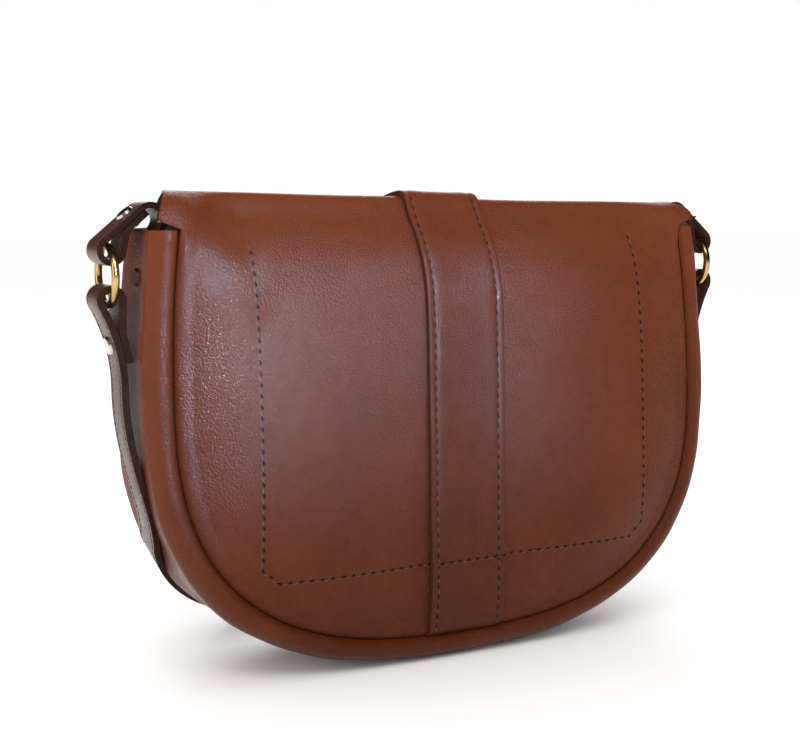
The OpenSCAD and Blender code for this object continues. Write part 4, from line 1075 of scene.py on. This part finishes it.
wall_x = SEAM_TOP_HALF_W + ROLL_H - GUSSET_DIP
tab_x = wall_x - GUSSET_T - CAP_GAP - TAB_T / 2 - 4 * FIT_GAP
tab_start = np.array([tab_x, SEAM_TOP_Z - TAB_INSIDE])
tab_up_moves = [(TAB_INSIDE - TAB_LEAN_FROM, 0, 0), (0, TAB_LEAN_R, TAB_LEAN),
                (0, TAB_BEND_R, -90 - TAB_LEAN - TAB_SLOPE)]
sin_fold, cos_fold = math.sin(math.radians(TAB_FOLD)), math.cos(math.radians(TAB_FOLD))
tab_fold_len = (TAB_LOOP_R * (1 + cos_fold) - TAB_CLOSE_R * (1 - cos_fold) - FIT_GAP - TAB_T) / sin_fold
tab_moves = tab_up_moves + [(TAB_RUN, 0, 0), (0, TAB_LOOP_R, -180 - TAB_FOLD), (tab_fold_len, 0, 0),
                            (0, TAB_CLOSE_R, TAB_FOLD), (TAB_TAIL, 0, 0)]
tab_knee = walk(tab_start, 90, tab_up_moves)[-1][0]
tab_up = heading(90 - TAB_SLOPE)
loop_c = tab_knee + TAB_RUN * heading(-TAB_SLOPE) - TAB_LOOP_R * tab_up
ring_r = (RING_D - RING_WIRE) / 2
ring_in_r = ring_r - RING_WIRE / 2
ring_c = np.array([loop_c[0], loop_c[1] - TAB_LOOP_R + TAB_T / 2 + FIT_GAP - rise_at(ring_in_r, TAB_W)])

hang_gap = STRAP_T + FIT_GAP
hang_turn = math.degrees(HANGER_LEN / HANGER_R)
hang_top_h = 90 - hang_turn
hang_play = HANGER_LOOP_R - STRAP_T / 2 - RING_WIRE / 2
hang_c = np.array([ring_c[0] + hang_play / 3,
                   ring_c[1] - rise_at(ring_in_r, STRAP_W) - HANGER_LOOP_R + STRAP_T / 2 + FIT_GAP])
hang_top = hang_c + HANGER_LOOP_R * heading(hang_top_h - 90)
hang_down = walk(hang_top, hang_top_h + 180, [(0, HANGER_R, hang_turn)])
hang_low = hang_down[-1][0]


def hang_moves():
    """Loop round the ring, fold and inner layer of a strap end."""
    hang_o = hang_top + HANGER_R * heading(hang_top_h - 90)
    fold_h = hang_top_h + 180 + HANGER_FOLD
    fold_start = hang_c + HANGER_LOOP_R * heading(fold_h - 90)
    way = heading(fold_h)
    v = fold_start + HANGER_CLOSE_R * heading(fold_h - 90) - hang_o
    reach = HANGER_R + hang_gap + HANGER_CLOSE_R
    root = math.sqrt(max(0, (v @ way) ** 2 - v @ v + reach * reach))
    run = -(v @ way) - root
    run = run if run > 0 else -(v @ way) + root
    c = v + run * way
    phi = math.degrees(math.atan2(c[1], c[0])) % 360
    turn = fold_h - phi - 90
    return [(0, HANGER_LOOP_R, 180 + HANGER_FOLD), (run, 0, 0), (0, HANGER_CLOSE_R, -turn),
            (0, HANGER_R + hang_gap, math.degrees(HANGER_TAIL / (HANGER_R + hang_gap)))]


def strap_end_stations():
    """From the end of the inner layer, over the ring and down the outer layer, on the left side."""
    path = [(hang_top, hang_top_h)] + walk(hang_top, hang_top_h, hang_moves())
    return mirrored(upright([(p, h + 180) for p, h in path[::-1]] + hang_down))


def bez(q, t):
    return (1 - t) ** 3 * q[0] + 3 * (1 - t) ** 2 * t * q[1] + 3 * (1 - t) * t * t * q[2] + t ** 3 * q[3]


def bez_way(q, t):
    return unit((1 - t) ** 2 * (q[1] - q[0]) + 2 * (1 - t) * t * (q[2] - q[1]) + t * t * (q[3] - q[2]))


def turned(d, s):
    """Width direction of the strap: across the bag's side at s = 0, upright at s = 1."""
    a = math.radians(90) * float(smooth((s - TWIST_FROM) / TWIST_RUN))
    w = np.array([0, math.cos(a), math.sin(a)])
    return unit(w - (w @ d) * d)


def curve_stations(q, n, s_from, s_to):
    q = [np.asarray(p, float) for p in q]
    out = []
    for k in range(1, n + 1):
        t = k / n
        d = bez_way(q, t)
        out.append((bez(q, t), d, turned(d, s_from + (s_to - s_from) * t), 1.0))
    return out


TWIST_FROM, TWIST_RUN, KNEE_TWIST = 0.14, 0.76, 0.26
lay_from = np.array([-hang_low[0], 0, hang_low[1] - JOINT_GAP])
knee_way = unit([0.25, 0.75, -0.75])
lead = (lay_from[2] - KNEE[2]) * 0.45


def lay(floor_place, reach):
    """From the low end of a strap end, past the bag's corner, to the floor behind the bag."""
    floor_place = np.asarray(floor_place, float)
    down = [lay_from, lay_from - [0, 0, lead], KNEE - knee_way * lead, KNEE]
    back = [KNEE, KNEE + knee_way * lead, floor_place - [reach, 0, 0], floor_place]
    return curve_stations(down, 16, 0, KNEE_TWIST) + curve_stations(back, 44, KNEE_TWIST, 1)


def floor_run(p, moves, z):
    """Stations of a strap on edge at height z, which sets out along X."""
    path = walk(np.array(p, float), 0, moves)
    return [(np.array([q[0], q[1], z]), np.append(heading(a), 0), UP, 1.0) for q, a in path]


bar_r = BUCKLE_WIRE / 2
frame_half_z = STRAP_W / 2 + BUCKLE_SIDE + bar_r
buckle_z = frame_half_z + bar_r + 2 * FIT_GAP
wrap_r = bar_r + FIT_GAP + STRAP_T / 2
row_low_y = LONG_FLOOR_Y + 8 * TURN_R
layer_y = row_low_y + bar_r + STRAP_T / 2 + BAR_GAP + wrap_r
over_y = layer_y + STRAP_T + LAP_GAP
shift_len = BUCKLE_LEN + 4 * bar_r / 3
shift_a = 2 * math.degrees(math.atan((over_y - row_low_y) / shift_len))
shift_r = shift_len / 2 / math.sin(math.radians(shift_a))
run_left_x = RUN_FIRST - LONG_FLOOR_X - RUN_LEN
last_run = BUCKLE_X - shift_len - run_left_x


def long_strap():
    """The strap with the tip: down to the floor, its runs on the floor, and the end through the buckle."""
    there, back, straight = (0, TURN_R, 180), (0, TURN_R, -180), (RUN_LEN, 0, 0)
    moves = [(RUN_FIRST, 0, 0), there, straight, back, straight, there, straight, back]
    floor = floor_run((-LONG_FLOOR_X, LONG_FLOOR_Y), moves, STRAP_W / 2)
    rise = []
    for k in range(1, 13):
        z = STRAP_W / 2 + (buckle_z - STRAP_W / 2) * float(smooth(k / 12))
        rise.append((np.array([run_left_x + last_run * k / 12, row_low_y, z]), RIGHT, UP, 1.0))
    moves = [(0, shift_r, shift_a), (0, shift_r, -shift_a), (TIP_LEN - STRAP_W / 2, 0, 0)]
    end = floor_run((BUCKLE_X - shift_len, row_low_y), moves, buckle_z)
    tip = []
    for a in np.radians(86 * np.arange(1, 10) / 9):
        tip.append((end[-1][0] + [STRAP_W / 2 * math.sin(a), 0, 0], RIGHT, UP, math.cos(a)))
    return lay((-LONG_FLOOR_X, LONG_FLOOR_Y, STRAP_W / 2), LONG_FLOOR_X * 0.8), floor, rise + end + tip


def short_strap():
    """The strap with the buckle: from the ring to the floor, and the end folded round the buckle."""
    close_r = STRAP_T * 0.8
    close = math.degrees(math.acos((hang_gap - wrap_r + close_r) / (wrap_r + close_r)))
    tail = KEEPER_AT - KEEPER_W / 2 - 5 * bar_r
    moves = [(SHORT_FLOOR_X - BUCKLE_X, 0, 0), (0, wrap_r, -180 - close), (0, close_r, close), (tail, 0, 0)]
    run = floor_run((-SHORT_FLOOR_X, layer_y), moves, buckle_z)
    return lay((-SHORT_FLOOR_X, layer_y, buckle_z), SHORT_FLOOR_X * 0.6), run


def strap_rows(stations):
    """Both stitch rows on a strap's outer face."""
    runs = []
    p = np.array([s[0] for s in stations])
    w = np.array([s[2] for s in stations])
    n = unit(np.cross(w, np.array([s[1] for s in stations])))
    off = STRAP_W / 2 - STRAP_ROW_INSET
    for side in (-1, 1):
        runs.append((p + w * off * side + n * (STRAP_T / 2 - STRAP_ROW_DEEP), n))
    return runs


def build_straps():
    section, kinds = strap_section(STRAP_W, STRAP_T, STRAP_ROW_INSET)
    top = strap_end_stations()
    outer = top[-len(hang_down):]
    lay_long, floor, rest = long_strap()
    lay_short, run = short_strap()
    sides = {"left": (top + lay_long + floor + rest, outer + lay_long + floor, "strap_long"),
             "right": (mirrored(top + lay_short + run), mirrored(outer + lay_short), "strap_short")}
    for side, (whole, sewn, node) in sides.items():
        strap = sweep(f"strap_{side}", whole, section, kinds)
        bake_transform(strap)
        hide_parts(f"strap_end_{side}", node)
        rows = stitches(f"strap_stitches_{side}", strap_rows(sewn), seed=8, slant=6, hole_scale=0.75)
        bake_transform(rows)
        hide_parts(f"end_stitching_{side}", "laid_stitching")


def build_tabs():
    section, kinds = strap_section(TAB_W, TAB_T, STRAP_ROW_INSET, sink=0.0)
    right = upright([(tab_start, 90)] + walk(tab_start, 90, tab_moves))
    for side, stations in (("left", mirrored(right)), ("right", right)):
        piece = sweep(f"tab_leather_{side}", stations, section, kinds)
        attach(piece, "bag")
        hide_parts(f"tab_{side}")


def build_keeper():
    """Leather loop that holds the strap's tip, with rounded corners."""
    low_y = layer_y - STRAP_T / 2 - 2 * FIT_GAP - KEEPER_T / 2
    high_y = over_y + STRAP_T / 2 + 2 * FIT_GAP + KEEPER_T / 2
    half_z = STRAP_W / 2 + 3 * FIT_GAP + KEEPER_T / 2
    r = KEEPER_T * 0.8
    stations = []
    for cy, cz, start in ((high_y - r, half_z - r, 0), (low_y + r, half_z - r, 90),
                          (low_y + r, r - half_z, 180), (high_y - r, r - half_z, 270)):
        for a in np.linspace(start, start + 90, 7):
            out = heading(a)
            place = np.array([BUCKLE_X + KEEPER_AT, cy + r * out[0], buckle_z + cz + r * out[1]])
            stations.append((place, np.array([0, -out[1], out[0]]), RIGHT, 1.0))
    section, kinds = strap_section(KEEPER_W, KEEPER_T, 1.2, sink=0.0, edge_r=0.3)
    piece = sweep("keeper_leather", stations, section, kinds, closed=True)
    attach(piece, "keeper")
    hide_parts("keeper")


# Metal, floor, light, camera

def finish_metal():
    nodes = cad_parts
    for name in ("ring_left", "ring_right", "buckle_frame", "buckle_prong"):
        dress(nodes[name], brass)
    dress(nodes["anchor_rivets"], bronze)
    for name in ("snap_stud", "snap_socket", "snap_washer", "tab_rivets", "end_rivet_left", "end_rivet_right",
                 "buckle_rivet"):
        dress(nodes[name], nickel)


def dress(obj, material):
    obj.data.materials.clear()
    obj.data.materials.append(material)
    obj.data.shade_smooth()
    obj.data.set_sharp_from_angle(angle=math.radians(40))


def build_floor():
    n = Nodes("floor_pale")
    colour = n.blend(n.noise(400, 2, 0.5), (0.985, 0.985, 0.985, 1), (0.995, 0.995, 0.995, 1))
    n.set(Base_Color=colour, Roughness=0.9, Specular_IOR_Level=0.0)
    bpy.ops.mesh.primitive_plane_add(size=12, location=(0, 0, -0.0002))
    floor = bpy.context.object
    floor.name = "floor"
    floor.data.materials.append(n.material)


def area_light(name, place, target, size, power, colour):
    data = bpy.data.lights.new(name, "AREA")
    data.shape, data.size, data.size_y = "RECTANGLE", size[0], size[1]
    data.energy, data.color = power, colour
    light = bpy.data.objects.new(name, data)
    light.location = place
    light.rotation_euler = (Vector(target) - Vector(place)).to_track_quat("-Z", "Y").to_euler()
    bpy.context.scene.collection.objects.link(light)
    return light


def build_lights():
    area_light("key", (-0.30, -0.55, 0.75), (0, 0, 0.14), (0.8, 0.3), 2.4, (1.0, 0.96, 0.92))
    sheen = area_light("sheen", (-0.03, -1.10, 0.56), (-0.045, -0.03, 0.118), (0.18, 0.08), 0.31,
                       (0.42, 0.73, 1.0))
    sheen.data.spread = math.radians(5)
    sheen.visible_diffuse = False
    area_light("side", (-1.0, -0.12, 0.35), (-0.1, 0, 0.12), (0.4, 0.5), 1.6, (1.0, 0.90, 0.84))
    area_light("front", (0.5, 1.1, 0.7), (0, 0, 0.1), (0.9, 0.6), 6, (1.0, 1.0, 1.0))
    world = bpy.data.worlds.new("studio")
    bpy.context.scene.world = world
    world.use_nodes = True
    background = world.node_tree.nodes["Background"].inputs
    background["Color"].default_value = (1.0, 1.0, 1.0, 1)
    background["Strength"].default_value = 1.0
    world.cycles_visibility.glossy = False
    bpy.context.scene.view_settings.view_transform = "Standard"


CAMERA_AT, CAMERA_LENS, CAMERA_DOWN, CAMERA_TURN = (-0.270, -0.4821, 0.175), 63.2, 7.12, -28


def build_camera():
    data = bpy.data.cameras.new("photo_camera")
    data.lens, data.sensor_width = CAMERA_LENS, 36
    camera = bpy.data.objects.new("photo_camera", data)
    camera.location = CAMERA_AT
    camera.rotation_euler = (math.radians(90 - CAMERA_DOWN), 0, math.radians(CAMERA_TURN))
    bpy.context.scene.collection.objects.link(camera)
    bpy.context.scene.camera = camera


build_camera()
build_lights()
build_floor()
build_back_and_top()
build_flap_front()
build_front_panel()
build_gusset()
build_band()
build_band_stitches()
build_pocket()
build_pocket_stitches()
build_seam_stitches()
build_straps()
build_tabs()
build_keeper()
finish_metal()
